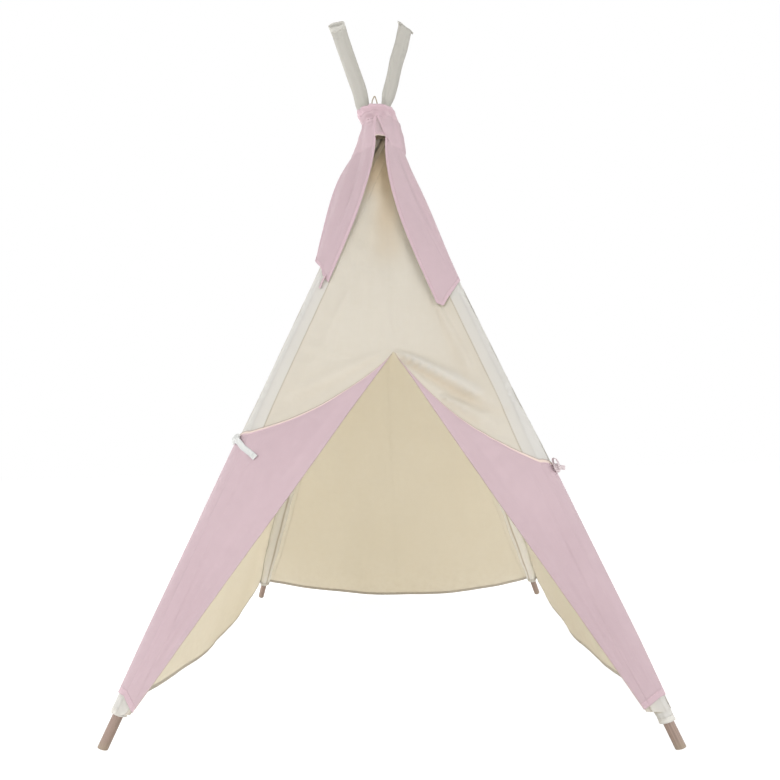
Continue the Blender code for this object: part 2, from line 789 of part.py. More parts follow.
def build():
    clear_scene()
    scene = bpy.context.scene
    group = collection("kids_teepee", scene.collection)
    crown = body_empty("crown_body", Vector((0, 0, crossing_height)), group)
    leg_bodies = {}
    for name, leg in legs.items():
        leg_bodies[name] = body_empty(f"leg_{name}_body", leg.crossing, group, crown)
        add_pole(leg, leg_bodies[name], group)
        add_sleeve(leg, leg_bodies[name], group)
    add_front_panel(crown, group)
    for name, panel in side_panels.items():
        add_panel(name, panel, crown, group)
    add_cap(crown, group)
    add_lashing(crown, group)
    for is_left, side in ((True, "left"), (False, "right")):
        leg_body = leg_bodies[f"front_{side}"]
        fold_start = flap_line(is_left)[0]
        flap_body = body_empty(f"door_flap_{side}_body", fold_start, group, leg_body)
        add_flap(is_left, flap_body, group)
        add_tail(is_left, leg_body, group)
    add_left_ribbon(leg_bodies["front_left"], group)
    add_right_bow(leg_bodies["front_right"], group)
    add_tail_tie(leg_bodies["front_left"], group)


build()
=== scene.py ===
# A child's canvas teepee: bare pole ends, loose sleeves, a four-sided cover, a pink cap with two
# tails and two door flaps that are folded back and tied.
import json
import math

import bmesh
import bpy
import numpy as np
from mathutils import Matrix, Vector

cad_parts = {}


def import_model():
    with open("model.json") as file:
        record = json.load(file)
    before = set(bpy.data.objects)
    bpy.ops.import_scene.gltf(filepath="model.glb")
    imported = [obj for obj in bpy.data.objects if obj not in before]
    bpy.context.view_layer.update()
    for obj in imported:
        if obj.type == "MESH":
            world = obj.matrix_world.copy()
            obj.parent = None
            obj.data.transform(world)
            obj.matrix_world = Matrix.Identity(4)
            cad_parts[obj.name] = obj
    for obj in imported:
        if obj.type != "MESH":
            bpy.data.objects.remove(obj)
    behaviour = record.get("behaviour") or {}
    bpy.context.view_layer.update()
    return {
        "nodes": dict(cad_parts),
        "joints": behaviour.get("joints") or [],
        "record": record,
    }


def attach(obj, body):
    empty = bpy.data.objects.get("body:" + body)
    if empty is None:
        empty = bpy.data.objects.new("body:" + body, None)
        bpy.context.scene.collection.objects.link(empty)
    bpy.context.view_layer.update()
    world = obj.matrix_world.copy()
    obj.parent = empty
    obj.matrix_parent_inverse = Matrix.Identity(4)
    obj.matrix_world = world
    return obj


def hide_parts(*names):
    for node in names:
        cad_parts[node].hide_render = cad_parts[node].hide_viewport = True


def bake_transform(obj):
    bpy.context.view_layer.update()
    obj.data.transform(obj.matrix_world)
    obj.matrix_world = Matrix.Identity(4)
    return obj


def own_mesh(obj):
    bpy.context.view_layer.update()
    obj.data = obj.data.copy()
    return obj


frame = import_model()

scene = bpy.context.scene
for name in ("Cube", "Light", "Camera"):  # what a new file starts with
    if name in bpy.data.objects:
        bpy.data.objects.remove(bpy.data.objects[name])


# Small sums that every piece uses

def smooth(t):
    t = np.clip(t, 0.0, 1.0)
    return t * t * (3 - 2 * t)


def after(x, start, run):
    # 0 before the start, 1 past the run
    return smooth((x - start) / run)


def before(x, start, run):
    return 1 - after(x, start, run)


def mix(a, b, t):
    return a + (b - a) * t


def bump(x, width):
    return np.exp(-(x / width) ** 2)


def unit(v):
    return v / np.maximum(np.linalg.norm(v, axis=-1, keepdims=True), 1e-12)


def spread(*values):
    return np.broadcast_arrays(*(np.asarray(value, float) for value in values))


def softNoise(x, y, seed):
    # smooth noise from -1 to 1, the same at each run
    x, y = spread(x, y)
    xi, yi = np.floor(x), np.floor(y)
    fx, fy = smooth(x - xi), smooth(y - yi)

    def corner(i, j):
        h = np.sin((xi + i) * 127.1 + (yi + j) * 311.7 + seed * 74.7) * 43758.5453
        return (h - np.floor(h)) * 2 - 1

    return mix(mix(corner(0, 0), corner(1, 0), fx), mix(corner(0, 1), corner(1, 1), fx), fy)


def layeredNoise(x, y, seed):
    layers = ((1, 0, 0.6), (2.1, 3, 0.3), (4.3, 7, 0.14))
    return sum(softNoise(x * finer, y * finer, seed + more) * share for finer, more, share in layers)


# The frame's lines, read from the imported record

poleSet = {"radius": 0.0095, "back": 1.800, "front": 1.585, "half": 0.900, "halfGap": 0.00015, "bevel": 0.0012,
           "sides": 40, "stations": 24, "wornEnd": 0.012}
sleeveSet = {
    "wide": 0.024, "deep": 0.0138, "flare": 0.160,
    "slimWide": 0.0172, "slimDeep": 0.0127, "slimFrom": 0.58, "slimRun": 0.16,  # drawn tight over the door
    "pinchRun": 0.070, "pinchTaper": 0.260, "pinchRadius": 0.0113,
    "upperStart": 0.080, "upperRun": 0.032, "upperWide": 0.0195,
    "tipRun": 0.030, "tipWide": 0.0275, "tipDeep": 0.0050, "frontCap": 0.004, "cloth": 0.0008,
    # folds: how far they stand out, and how often they come
    "twist": 0.0009, "twistEvery": 0.13, "pleat": 0.0005, "soft": 0.0012, "crimp": 0.0005, "crimpEvery": 0.021,
    "footFlare": 0.0009, "ruck": 0.0011, "ruckEvery": 0.019, "ruckHeight": 0.655, "ruckWidth": 0.055,
    "rimWave": 0.0005,
    # the cream side, towards the tent: its half width in degrees, its ends, and what is seen under the cap; the painted
    # shade under the cap and on the tips, and the dark line at the inner corner, a seam partly in painted shade
    "corner": 116, "cornerWide": 150, "lineWide": 8, "overFoot": 0.012, "underTop": 0.04, "overCrossing": 0.02,
    "capFrom": 0.985, "capWideFrom": 1.03, "capShadeFrom": 1.10, "dull": 0.70, "backCapShade": 0.40, "tipPaintedShade": 0.9,
    "line": 0.9,
    "flatRadius": 0.018, "footStitch": 0.0085, "backStitch": 0.010, "frontStitch": 0.002,
}
# each pole's bare end, the sleeve's half width there, and what makes its cloth and grain its own
legSet = {
    "front_left": {"bare": 0.060, "footWide": 0.0162, "seed": 1, "grain": 0.0},
    "front_right": {"bare": 0.044, "footWide": 0.0130, "seed": 4, "grain": 3.1},
    "back_right": {"bare": 0.060, "footWide": 0.0162, "seed": 15, "grain": 11.3},
    "back_left": {"bare": 0.060, "footWide": 0.0162, "seed": 9, "grain": 7.7},
}
# the back sleeves' rims: slant over the width and depth, drop, and how far the slack hangs to one side
tipSet = {
    "back_left": {"rimSide": 0.0010, "rimBack": 0.0030, "drop": 0.022, "slack": 0.0, "wider": 0.0},
    "back_right": {"rimSide": 0.0110, "rimBack": 0.0055, "drop": -0.011, "slack": 0.0068, "wider": 0.0028},
}
coverSet = {"topDrop": 0.050, "topRise": 0.018, "hemEdge": 0.0575, "hemMiddle": 0.008, "frontHemEdge": 0.058,
            "seam": 0.0007, "cloth": 0.0008, "sag": 0.022,
            "band": 0.0240, "sewnIn": 0.0035}  # the sleeve's white cloth runs on over the edge of a panel
# the panels' folds: heights in metres, fades as shares of the cover's length
foldSet = {"upper": 0.0045, "upperIn": 0.33, "upperOut": 0.71, "upperWaves": 3, "lower": 0.0024, "lowerWaves": 4,
           "soft": 0.0055, "softer": 0.55, "calmFrom": 0.55, "crease": 0.0011, "band": 0.0009, "bandStep": 0.0012,
           "nearSeam": 2.2, "pull": 0.0015, "pullEvery": 0.085, "pullReach": 0.05, "pullWidth": 0.055, "pullSlant": 0.9}


class Leg:
    def __init__(self, name):
        joint = next(j for j in frame["joints"] if j["name"] == "fold_" + name)
        foot = next(m for m in frame["record"]["mounts"] if m["name"] == "foot_" + name)
        self.name, self.body = name, "leg_" + name
        self.capital = name.title().replace("_", "")
        self.title = self.capital[0].lower() + self.capital[1:]
        self.foot, self.crossing = np.array(foot["pos_m"]), np.array(joint["pos_m"])
        self.along, self.side = unit(-np.array(foot["axis"])), unit(np.array(joint["axis"]))
        self.out = np.cross(self.side, self.along)
        self.length = float(np.linalg.norm(self.crossing - self.foot))
        self.isBack = name.startswith("back")
        self.pole = poleSet["back" if self.isBack else "front"]
        self.bare, self.footWide, self.seed, self.grain = legSet[name].values()

    def point(self, s):
        return self.foot + np.asarray(s)[..., None] * self.along

    def atHeight(self, z):
        return (z - self.foot[2]) / self.along[2]

    def around(self, s, degrees, offset):
        wide, deep = sleeveSize(self, s)
        turn = np.radians(degrees)
        across = (np.cos(turn) * (wide + offset))[..., None] * self.side
        return self.point(s) + across + (np.sin(turn) * (deep + offset))[..., None] * self.out

    def support(self, s, normal, offset):
        # the sleeve's furthest point along a normal, an offset off its cloth, and its angle round the pole
        wide, deep = (size + offset for size in sleeveSize(self, s))
        nSide, nOut = normal @ self.side, normal @ self.out
        reach = np.hypot(wide * nSide, deep * nOut)
        angle = np.degrees(np.arctan2(deep * nOut / reach, wide * nSide / reach))
        across = (wide * wide * nSide / reach)[..., None] * self.side
        return self.point(s) + across + (deep * deep * nOut / reach)[..., None] * self.out, angle


def sleevePinch(leg, s):
    # 1 where the four poles press together, 0 where the sleeve is loose
    k = sleeveSet
    below = 1 - smooth((leg.length - s - k["pinchRun"]) / k["pinchTaper"])
    return np.where(s < leg.length, below, 1 - smooth((s - leg.length - k["upperStart"]) / k["upperRun"]))


def sleeveSize(leg, s):
    k = sleeveSet
    s = np.asarray(s, float)
    pinch = sleevePinch(leg, s)
    opened, slim = after(s, leg.bare, k["flare"]), after(s, k["slimFrom"], k["slimRun"])
    deep = mix(mix(k["deep"], k["slimDeep"], slim), k["pinchRadius"], pinch)
    lower = mix(mix(mix(leg.footWide, k["wide"], opened), k["slimWide"], slim), k["pinchRadius"], pinch)
    flat = after(s, leg.pole, k["tipRun"]) if leg.isBack else 0.0 * s
    upper = mix(mix(k["upperWide"], k["pinchRadius"], pinch), k["tipWide"], flat)
    below = s < leg.length
    return np.where(below, lower, upper), np.where(below, deep, mix(deep, k["tipDeep"], flat))


legs = {name: Leg(name) for name in legSet}
crossingHeight = float(legs["front_left"].crossing[2])


class Panel:
    def __init__(self, name, a, b, hemEdge, lean, seed, fold, extra=None):
        self.name, self.a, self.b = name, legs[a], legs[b]
        self.hemEdge, self.lean, self.seed, self.fold, self.extra = hemEdge, lean, seed, fold, extra
        self.top = self.a.length - coverSet["topDrop"]

    def normals(self, s):
        chord = self.b.point(s) - self.a.point(s)
        return unit(np.cross(chord, self.a.along)), unit(np.cross(chord, self.b.along))

    def seams(self, s):
        ends = zip((self.a, self.b), self.normals(s))
        return [leg.support(s, normal, coverSet["seam"])[0] for leg, normal in ends]

    def width(self, s):
        start, end = self.seams(s)
        return np.linalg.norm(end - start, axis=-1)

    def normal(self, u, s):
        return unit(mix(*self.normals(s), np.asarray(u)[..., None]))

    def hem(self, u):
        arc = np.sin(math.pi * np.asarray(u) ** self.lean)
        return self.a.atHeight(mix(self.hemEdge, coverSet["hemMiddle"], arc))

    def point(self, u, s):
        u, s = spread(u, s)
        k = foldSet
        start, end = self.seams(s)
        width = np.linalg.norm(end - start, axis=-1)
        flatPlace = mix(start, end, u[..., None])
        window = 4 * u * (1 - u)
        down = (self.top - s) / self.top
        upper = np.cos(2 * k["upperWaves"] * math.pi * u) * smooth(down / k["upperIn"]) * k["upper"]
        upper = upper * (1 - smooth(down / k["upperOut"]))
        lower = np.sin(2 * k["lowerWaves"] * math.pi * u + self.lean * math.pi) * k["lower"] * smooth(2 * down - 1)
        side = (u - 0.5) * width
        calm = 1 - k["softer"] * after(down, k["calmFrom"], 1 - k["calmFrom"])
        folds = layeredNoise(side * 7 + self.seed, s * 1.1, self.seed) * k["soft"] * smooth(down * 3) * calm
        creases = layeredNoise(side * 26, s * 6 + side * 5, self.seed + 11) * k["crease"]
        detail = (folds + creases) * self.fold + self.pulls(u, s, width)
        if self.extra:
            detail = detail + self.extra(flatPlace[..., 0], flatPlace[..., 2])[0]
        band = k["band"] * before(np.minimum(u, 1 - u) * width, coverSet["band"], k["bandStep"])
        out = -coverSet["sag"] * width * window + band + window * (upper + lower)
        out = out + smooth(window * k["nearSeam"]) * detail
        return flatPlace + self.normal(u, s) * out[..., None]

    def pulls(self, u, s, width):
        # short slack folds that run in from the seams, slanting down
        k, made = foldSet, np.zeros_like(u)
        for way, edge in ((1, u), (-1, 1 - u)):
            reach = edge * width
            phase = (s + reach * k["pullSlant"]) / k["pullEvery"] + 1.7 * softNoise(s * 4, 0.0, self.seed + way)
            strength = 0.6 + 0.4 * softNoise(s * 7, 0.5, self.seed - way)
            near = bump(reach - k["pullReach"], k["pullWidth"])
            made = made + np.sin(2 * math.pi * phase) * k["pull"] * near * strength
        return made


ridgeSet = [dict(zip(("line", "height", "above", "below", "hollow"), row)) for row in (
    # a line over the front in metres, height, width above and below the crest, depth of the hollow under it
    (((0.020, 0.762), (0.103, 0.714), (0.157, 0.684), (0.205, 0.652), (0.250, 0.628)), 0.0150, 0.024, 0.0090, 0.0060),
    (((0.120, 0.655), (0.170, 0.628), (0.232, 0.588)), 0.0080, 0.014, 0.0080, 0.0026),
    (((0.010, 0.764), (-0.110, 0.705), (-0.215, 0.660)), 0.0040, 0.020, 0.0120, 0.0012),
    (((0.024, 0.775), (0.010, 0.870), (0.006, 1.000)), 0.0045, 0.022, 0.0240, 0.0),
    (((0.120, 0.900), (0.185, 0.745), (0.222, 0.660)), 0.0042, 0.010, 0.0160, 0.0015),
    (((-0.075, 0.930), (-0.130, 0.790), (-0.190, 0.670)), 0.0038, 0.018, 0.0180, 0.0),
)]
# the hollow under a ridge, and how a ridge grows and fades over its length
hollowSet = {"below": 0.019, "width": 0.011, "deepest": 0.006}
runSet = {"thin": 0.35, "growth": 1.6, "from": -0.02, "shownBy": 0.22, "fadeFrom": 0.7, "fadeRun": 0.3, "fade": 0.75}


def ridgeField(x, z):
    # the taut folds that run from the doorway's point to the sleeves: their height, and the shade under them
    made, shade = np.zeros_like(x), np.zeros_like(x)
    for ridge in ridgeSet:
        line = np.array(ridge["line"])
        steps = np.linalg.norm(np.diff(line, axis=0), axis=1)
        nearest, off, run = np.full(x.shape, np.inf), np.zeros_like(x), np.zeros_like(x)
        for k, step in enumerate(steps):
            way = (line[k + 1] - line[k]) / step
            along = np.clip((x - line[k, 0]) * way[0] + (z - line[k, 1]) * way[1], 0, step)
            dx, dz = x - line[k, 0] - along * way[0], z - line[k, 1] - along * way[1]
            far = np.hypot(dx, dz)
            closer = far < nearest
            side = np.where(dz * way[0] - dx * way[1] > 0, 1.0, -1.0) * np.sign(way[0] + 1e-9)
            nearest = np.where(closer, far, nearest)
            off = np.where(closer, far * side, off)
            run = np.where(closer, steps[:k].sum() + along, run)
        t = run / steps.sum()
        grow = runSet["thin"] + (1 - runSet["thin"]) * np.clip(t * runSet["growth"], 0, 1)
        crest = np.where(off > 0, bump(off, ridge["above"] * grow), bump(off, ridge["below"] * grow))
        hollow = bump(off + hollowSet["below"] * grow, hollowSet["width"] * grow)
        fade = 1 - runSet["fade"] * after(t, runSet["fadeFrom"], runSet["fadeRun"])
        shown = after(t, runSet["from"], runSet["shownBy"]) * fade
        made = made + (ridge["height"] * crest - ridge["hollow"] * hollow) * shown
        shade = np.maximum(shade, hollow * shown * ridge["hollow"] / hollowSet["deepest"])
    return made, shade


front = Panel("front_panel", "front_left", "front_right", coverSet["frontHemEdge"], 1.0, 2, 1.0, ridgeField)
right = Panel("right_panel", "front_right", "back_right", coverSet["hemEdge"], 1.12, 5, 0.9)
back = Panel("back_panel", "back_right", "back_left", coverSet["hemEdge"], 0.86, 8, 0.8)
left = Panel("left_panel", "back_left", "front_left", coverSet["hemEdge"], 0.94, 13, 0.9)
doorSet = {"apexX": 0.025, "apexHeight": 0.757, "footX": {"left": -0.461, "right": 0.457}}
doorTop = float(front.a.atHeight(doorSet["apexHeight"]))
doorFoot = float(front.a.atHeight(coverSet["frontHemEdge"]))
# what lies at each side of the doorway; "end" counts the front panel's ends, "way" points to the middle
sideSet = {
    "left": {"leg": front.a, "other": front.b, "panel": left, "end": 0, "way": 1},
    "right": {"leg": front.b, "other": front.a, "panel": right, "end": 1, "way": -1},
}


def doorEdge(s, side):
    start, end = (seam[..., 0] for seam in front.seams(s))
    x = mix(doorSet["apexX"], doorSet["footX"][side], (doorTop - s) / (doorTop - doorFoot))
    return (x - start) / (end - start)


# Meshes

def facing(normals, outward, axis):
    return normals * np.where(np.sum(normals * outward, axis=axis, keepdims=axis is not None) < 0, -1.0, 1.0)


def surfaceNormals(surface, u, v, step, outward):
    along = surface(u + step, v) - surface(u - step, v)
    down = surface(u, v + step) - surface(u, v - step)
    return facing(unit(np.cross(along, down)), outward, -1)


def gridNormals(points, outward, closed=False):
    across = np.roll(points, -1, axis=1) - np.roll(points, 1, axis=1) if closed else np.gradient(points, axis=1)
    return facing(unit(np.cross(across, np.gradient(points, axis=0))), outward, None)


def runAlong(points, axis):
    # the way along each column (0) or row (1) of a grid, or along a line, from its first point
    steps = np.linalg.norm(np.diff(points, axis=axis), axis=-1)
    return np.concatenate([np.zeros_like(steps.take([0], axis)), np.cumsum(steps, axis=axis)], axis)


def closeRow(points, shift=0.0):
    return np.concatenate([points, points[:, :1] + shift], 1)


def newPiece(name, places, faces, finishes):
    mesh = bpy.data.meshes.new(name)
    mesh.from_pydata(np.asarray(places).reshape(-1, 3).tolist(), [], faces)
    mesh.polygons.foreach_set("use_smooth", np.ones(len(faces), bool))
    for finish in finishes:
        mesh.materials.append(finish)
    piece = bpy.data.objects.new(name, mesh)
    scene.collection.objects.link(piece)
    return piece, mesh


def setMark(mesh, name, values, kind="FLOAT"):
    made = mesh.attributes.new(name, kind, "POINT")
    made.data.foreach_set("vector" if kind == "FLOAT_VECTOR" else "value", np.asarray(values, np.float32).ravel())


def setFlat(mesh, places):
    mesh.uv_layers.new(name="cloth").data.foreach_set("uv", places.astype(np.float32).ravel())


def turnOut(mesh):
    # leaves out loose points and turns every face outwards
    tree = bmesh.new()
    tree.from_mesh(mesh)
    bmesh.ops.delete(tree, geom=[v for v in tree.verts if not v.link_faces], context="VERTS")
    bmesh.ops.recalc_face_normals(tree, faces=tree.faces)
    tree.to_mesh(mesh)
    tree.free()


def tubeFaces(count, sides):
    pairs = [(i, (i + 1) % sides) for i in range(sides)]
    return [(low + a, low + b, low + sides + b, low + sides + a)
            for low in range(0, (count - 1) * sides, sides) for a, b in pairs]


def gridSolid(name, points, normals, cloth, finishes, flat, closed=False, marks=None, paint=None):
    # A sheet of cloth with its thickness: the two sides and the cut edges, with the sheet's own normals.
    # The first finish is for the outer side, the last for the inner side, and paint picks others by face.
    rows, cols = points.shape[:2]
    count = rows * cols
    own = normals.reshape(-1, 3)
    places = np.concatenate([(points + normals * way * cloth / 2).reshape(-1, 3) for way in (1, -1)])
    index = np.arange(count).reshape(rows, cols)
    if closed:
        index = closeRow(index, 0)
    quads, corners = (np.stack([g[:-1, :-1], g[:-1, 1:], g[1:, 1:], g[1:, :-1]], 2) for g in (index, flat))
    quads, corners = quads.reshape(-1, 4), corners.reshape(-1, 4, 2)
    middle = quads[len(quads) // 2 + 1]
    if np.cross(places[middle[1]] - places[middle[0]], places[middle[2]] - places[middle[0]]) @ own[middle[0]] < 0:
        quads, corners = quads[:, ::-1], corners[:, ::-1]
    edges, edgeFlat = (np.concatenate([g[:, [k, (k + 1) % 4]] for k in range(4)]) for g in (quads, corners))
    keys = np.sort(edges, axis=1)
    single = np.unique(keys[:, 0].astype(np.int64) * count + keys[:, 1], return_index=True, return_counts=True)
    rim = single[1][single[2] == 1]
    a, b = edges[rim, 0], edges[rim, 1]
    rims = np.stack([b, a, a + count, b + count], 1)
    rimFlat = edgeFlat[rim][:, [1, 0, 0, 1]]
    faces = np.concatenate([quads, quads[:, ::-1] + count, rims])
    piece, mesh = newPiece(name, places, faces.tolist(), finishes)
    outerSide = np.zeros(len(quads), int) if paint is None else paint.ravel().astype(int)
    rest = np.full(len(quads) + len(rims), len(finishes) - 1)
    mesh.polygons.foreach_set("material_index", np.concatenate([outerSide, rest]))
    setFlat(mesh, np.concatenate([corners, corners[:, ::-1], rimFlat]))
    for label, values in (marks or {}).items():
        values = np.asarray(values, float).ravel()
        setMark(mesh, label, np.concatenate([values, values * (label not in ("band", "seam"))]))
    rimNormals = unit(np.cross(places[rims[:, 1]] - places[rims[:, 0]], places[rims[:, 2]] - places[rims[:, 0]]))
    inner = -own[quads[:, ::-1]].reshape(-1, 3)
    loops = np.concatenate([own[quads].reshape(-1, 3), inner, np.repeat(rimNormals, 4, axis=0)])
    mesh.normals_split_custom_set(loops.tolist())
    return piece


def declareSheet(piece, points):
    # the flat size is the smaller of the grid's own and the one of a rectangle laid round the sheet
    a, b = points[1:, :-1] - points[:-1, :-1], points[:-1, 1:] - points[:-1, :-1]
    area = float(np.linalg.norm(np.cross(a, b), axis=-1).sum())
    width, length = (float(np.linalg.norm(np.diff(points, axis=k), axis=-1).sum(axis=k).max()) for k in (1, 0))
    places = points.reshape(-1, 3) - points.reshape(-1, 3).mean(axis=0)
    spans = np.ptp(places @ np.linalg.svd(places, full_matrices=False)[2].T, axis=0)
    if area < spans[0] * spans[1] < width * length:
        width, length = float(spans[1]), float(spans[0])


# Nodes: links and values go in by name or number, and each small helper gives the socket that comes out

def plug(tree, node, links):
    for key, value in links.items():
        if isinstance(value, bpy.types.NodeSocket):
            tree.links.new(value, node.inputs[key])
        else:
            node.inputs[key].default_value = value
    return node


def put(tree, kind, links=None, **settings):
    made = tree.nodes.new(kind)
    for key, value in settings.items():
        setattr(made, key, value)
    return plug(tree, made, links or {})


def maths(tree, operation, *values):
    return put(tree, "ShaderNodeMath", dict(enumerate(values)), operation=operation).outputs[0]


def wave(tree, value, by):
    return maths(tree, "SINE", maths(tree, "MULTIPLY", value, by))


def ramp(tree, value, low, high, a=0.0, b=1.0):
    links = {"Value": value, "From Min": low, "From Max": high, "To Min": a, "To Max": b}
    return put(tree, "ShaderNodeMapRange", links, interpolation_type="SMOOTHSTEP").outputs["Result"]


def noise(tree, place, scale, detail, more=None, **settings):
    links = {"Vector": place, "Scale": scale, "Detail": detail, **(more or {})}
    return put(tree, "ShaderNodeTexNoise", links, **settings).outputs["Fac"]


def stretch(tree, place, by):
    return put(tree, "ShaderNodeVectorMath", {0: place, 1: by}, operation="MULTIPLY").outputs[0]


def mark(tree, name):
    return put(tree, "ShaderNodeAttribute", attribute_name=name).outputs["Fac"]


def relief(tree, height, strength, distance, under=None):
    links = {"Height": height, "Strength": strength, "Distance": distance}
    return put(tree, "ShaderNodeBump", {**links, "Normal": under} if under else links).outputs[0]


def tint(tree, factor, a, b):
    a, b = (value if isinstance(value, bpy.types.NodeSocket) else (*value, 1.0) for value in (a, b))
    return put(tree, "ShaderNodeMix", {0: factor, 6: a, 7: b}, data_type="RGBA").outputs[2]


# Shader groups

def newGroup(name, inputs, outputs):
    # an input without a value of its own is a vector
    tree = bpy.data.node_groups.new(name, "ShaderNodeTree")
    for label, value in inputs.items():
        kind = "NodeSocketVector" if value is None else "NodeSocketFloat"
        socket = tree.interface.new_socket(name=label, in_out="INPUT", socket_type=kind)
        if value is not None:
            socket.default_value = value
    for label in outputs:
        tree.interface.new_socket(name=label, in_out="OUTPUT", socket_type="NodeSocketFloat")
    return tree, tree.nodes.new("NodeGroupInput").outputs, tree.nodes.new("NodeGroupOutput")


def buildWeave():
    # Plain weave: warp and weft threads that take turns on top, with the odd thicker thread.
    inputs = {"Vector": None, "Threads per Metre": 1300.0, "Slub": 0.5}
    tree, start, end = newGroup("plainWeave", inputs, ("Height", "Tone"))
    scaled = {0: start["Vector"], "Scale": start["Threads per Metre"]}
    place = put(tree, "ShaderNodeVectorMath", scaled, operation="SCALE").outputs[0]
    x, y = put(tree, "ShaderNodeSeparateXYZ", {0: place}).outputs[:2]
    warp, weft = (maths(tree, "ABSOLUTE", wave(tree, way, math.pi)) for way in (x, y))
    squares = maths(tree, "ADD", maths(tree, "FLOOR", x), maths(tree, "FLOOR", y))
    over = maths(tree, "ABSOLUTE", maths(tree, "MODULO", squares, 2.0))
    high = put(tree, "ShaderNodeMix", {"Factor": over, "A": warp, "B": weft}).outputs["Result"]
    low = put(tree, "ShaderNodeMix", {"Factor": over, "A": weft, "B": warp}).outputs["Result"]
    height = maths(tree, "MULTIPLY_ADD", low, 0.45, high)
    tones = [noise(tree, stretch(tree, place, by), 1.0, 1.0, {"W": seed}, noise_dimensions="4D")
             for by, seed in (((0.9, 0.012, 0.0), 3.0), ((0.012, 0.9, 0.0), 11.0))]
    slub = maths(tree, "SUBTRACT", maths(tree, "ADD", *tones), 1.0)
    plug(tree, end, {"Height": maths(tree, "MULTIPLY_ADD", slub, start["Slub"], height),
                     "Tone": maths(tree, "MULTIPLY_ADD", slub, start["Slub"], 0.5)})
    return tree


def buildClothAge():
    # Large soft differences of tone, small rumples, and a little soil at the foot of the cloth.
    inputs = {"Vector": None, "Rumple Scale": 14.0, "Soil Height": 0.16}
    tree, start, end = newGroup("clothAge", inputs, ("Tone", "Rumple", "Soil"))
    place = start["Vector"]
    broad, speck = noise(tree, place, 3.2, 2.0), noise(tree, place, 55.0, 3.0)
    small = noise(tree, place, start["Rumple Scale"], 3.0, {"Roughness": 0.55, "Distortion": 0.4})
    fine = noise(tree, place, maths(tree, "MULTIPLY", start["Rumple Scale"], 4.5), 2.0)
    height = put(tree, "ShaderNodeSeparateXYZ", {0: place}).outputs[2]
    near = ramp(tree, height, 0.0, start["Soil Height"], 1.0, 0.0)
    plug(tree, end, {"Tone": maths(tree, "MULTIPLY_ADD", maths(tree, "SUBTRACT", speck, 0.5), 0.35, broad),
                     "Rumple": maths(tree, "MULTIPLY_ADD", fine, 0.22, small),
                     "Soil": maths(tree, "MULTIPLY", near, ramp(tree, speck, 0.35, 0.75))})
    return tree


def buildHem():
    # Distance from an edge, as bands: the turned hem, and the step where it ends.
    tree, start, end = newGroup("hemBand", {"Distance": 1.0, "Width": 0.010}, ("Hem", "Step"))
    inside = ramp(tree, start["Distance"], start["Width"], maths(tree, "ADD", start["Width"], 0.0015), 1.0, 0.0)
    rounded = ramp(tree, start["Distance"], 0.0, 0.002)
    plug(tree, end, {"Hem": inside, "Step": maths(tree, "MULTIPLY", inside, rounded)})
    return tree


def buildWoodGrain():
    # Growth rings round a pith outside the dowel, seen as long lines on its side and arcs at its end.
    inputs = {"Vector": None, "Rings per Metre": 620.0}
    tree, start, end = newGroup("dowelGrain", inputs, ("Grain", "Pores", "Tone"))
    place = start["Vector"]
    warped, flat, thin = (stretch(tree, place, (1.0, 1.0, by)) for by in (0.05, 0.0, 0.02))
    pith = put(tree, "ShaderNodeVectorMath", {0: flat, 1: (0.021, 0.013, 0.0)}, operation="DISTANCE").outputs["Value"]
    bent = maths(tree, "MULTIPLY_ADD", noise(tree, warped, 55.0, 2.0), 0.006, pith)
    rings = wave(tree, maths(tree, "MULTIPLY", bent, start["Rings per Metre"]), 2 * math.pi)
    plug(tree, end, {"Grain": ramp(tree, rings, -0.6, 1.0), "Tone": noise(tree, warped, 18.0, 3.0),
                     "Pores": ramp(tree, noise(tree, thin, 2400.0, 2.0), 0.52, 0.72)})
    return tree


weaveGroup, ageGroup, hemGroup, grainGroup = buildWeave(), buildClothAge(), buildHem(), buildWoodGrain()


# Materials

def newMaterial(name, light):
    mat = bpy.data.materials.new(name)
    mat.use_nodes = True
    mat.diffuse_color = (*light, 1.0)
    return mat, mat.node_tree, mat.node_tree.nodes["Principled BSDF"]


def useGroup(tree, group, links):
    return put(tree, "ShaderNodeGroup", links, node_tree=group).outputs


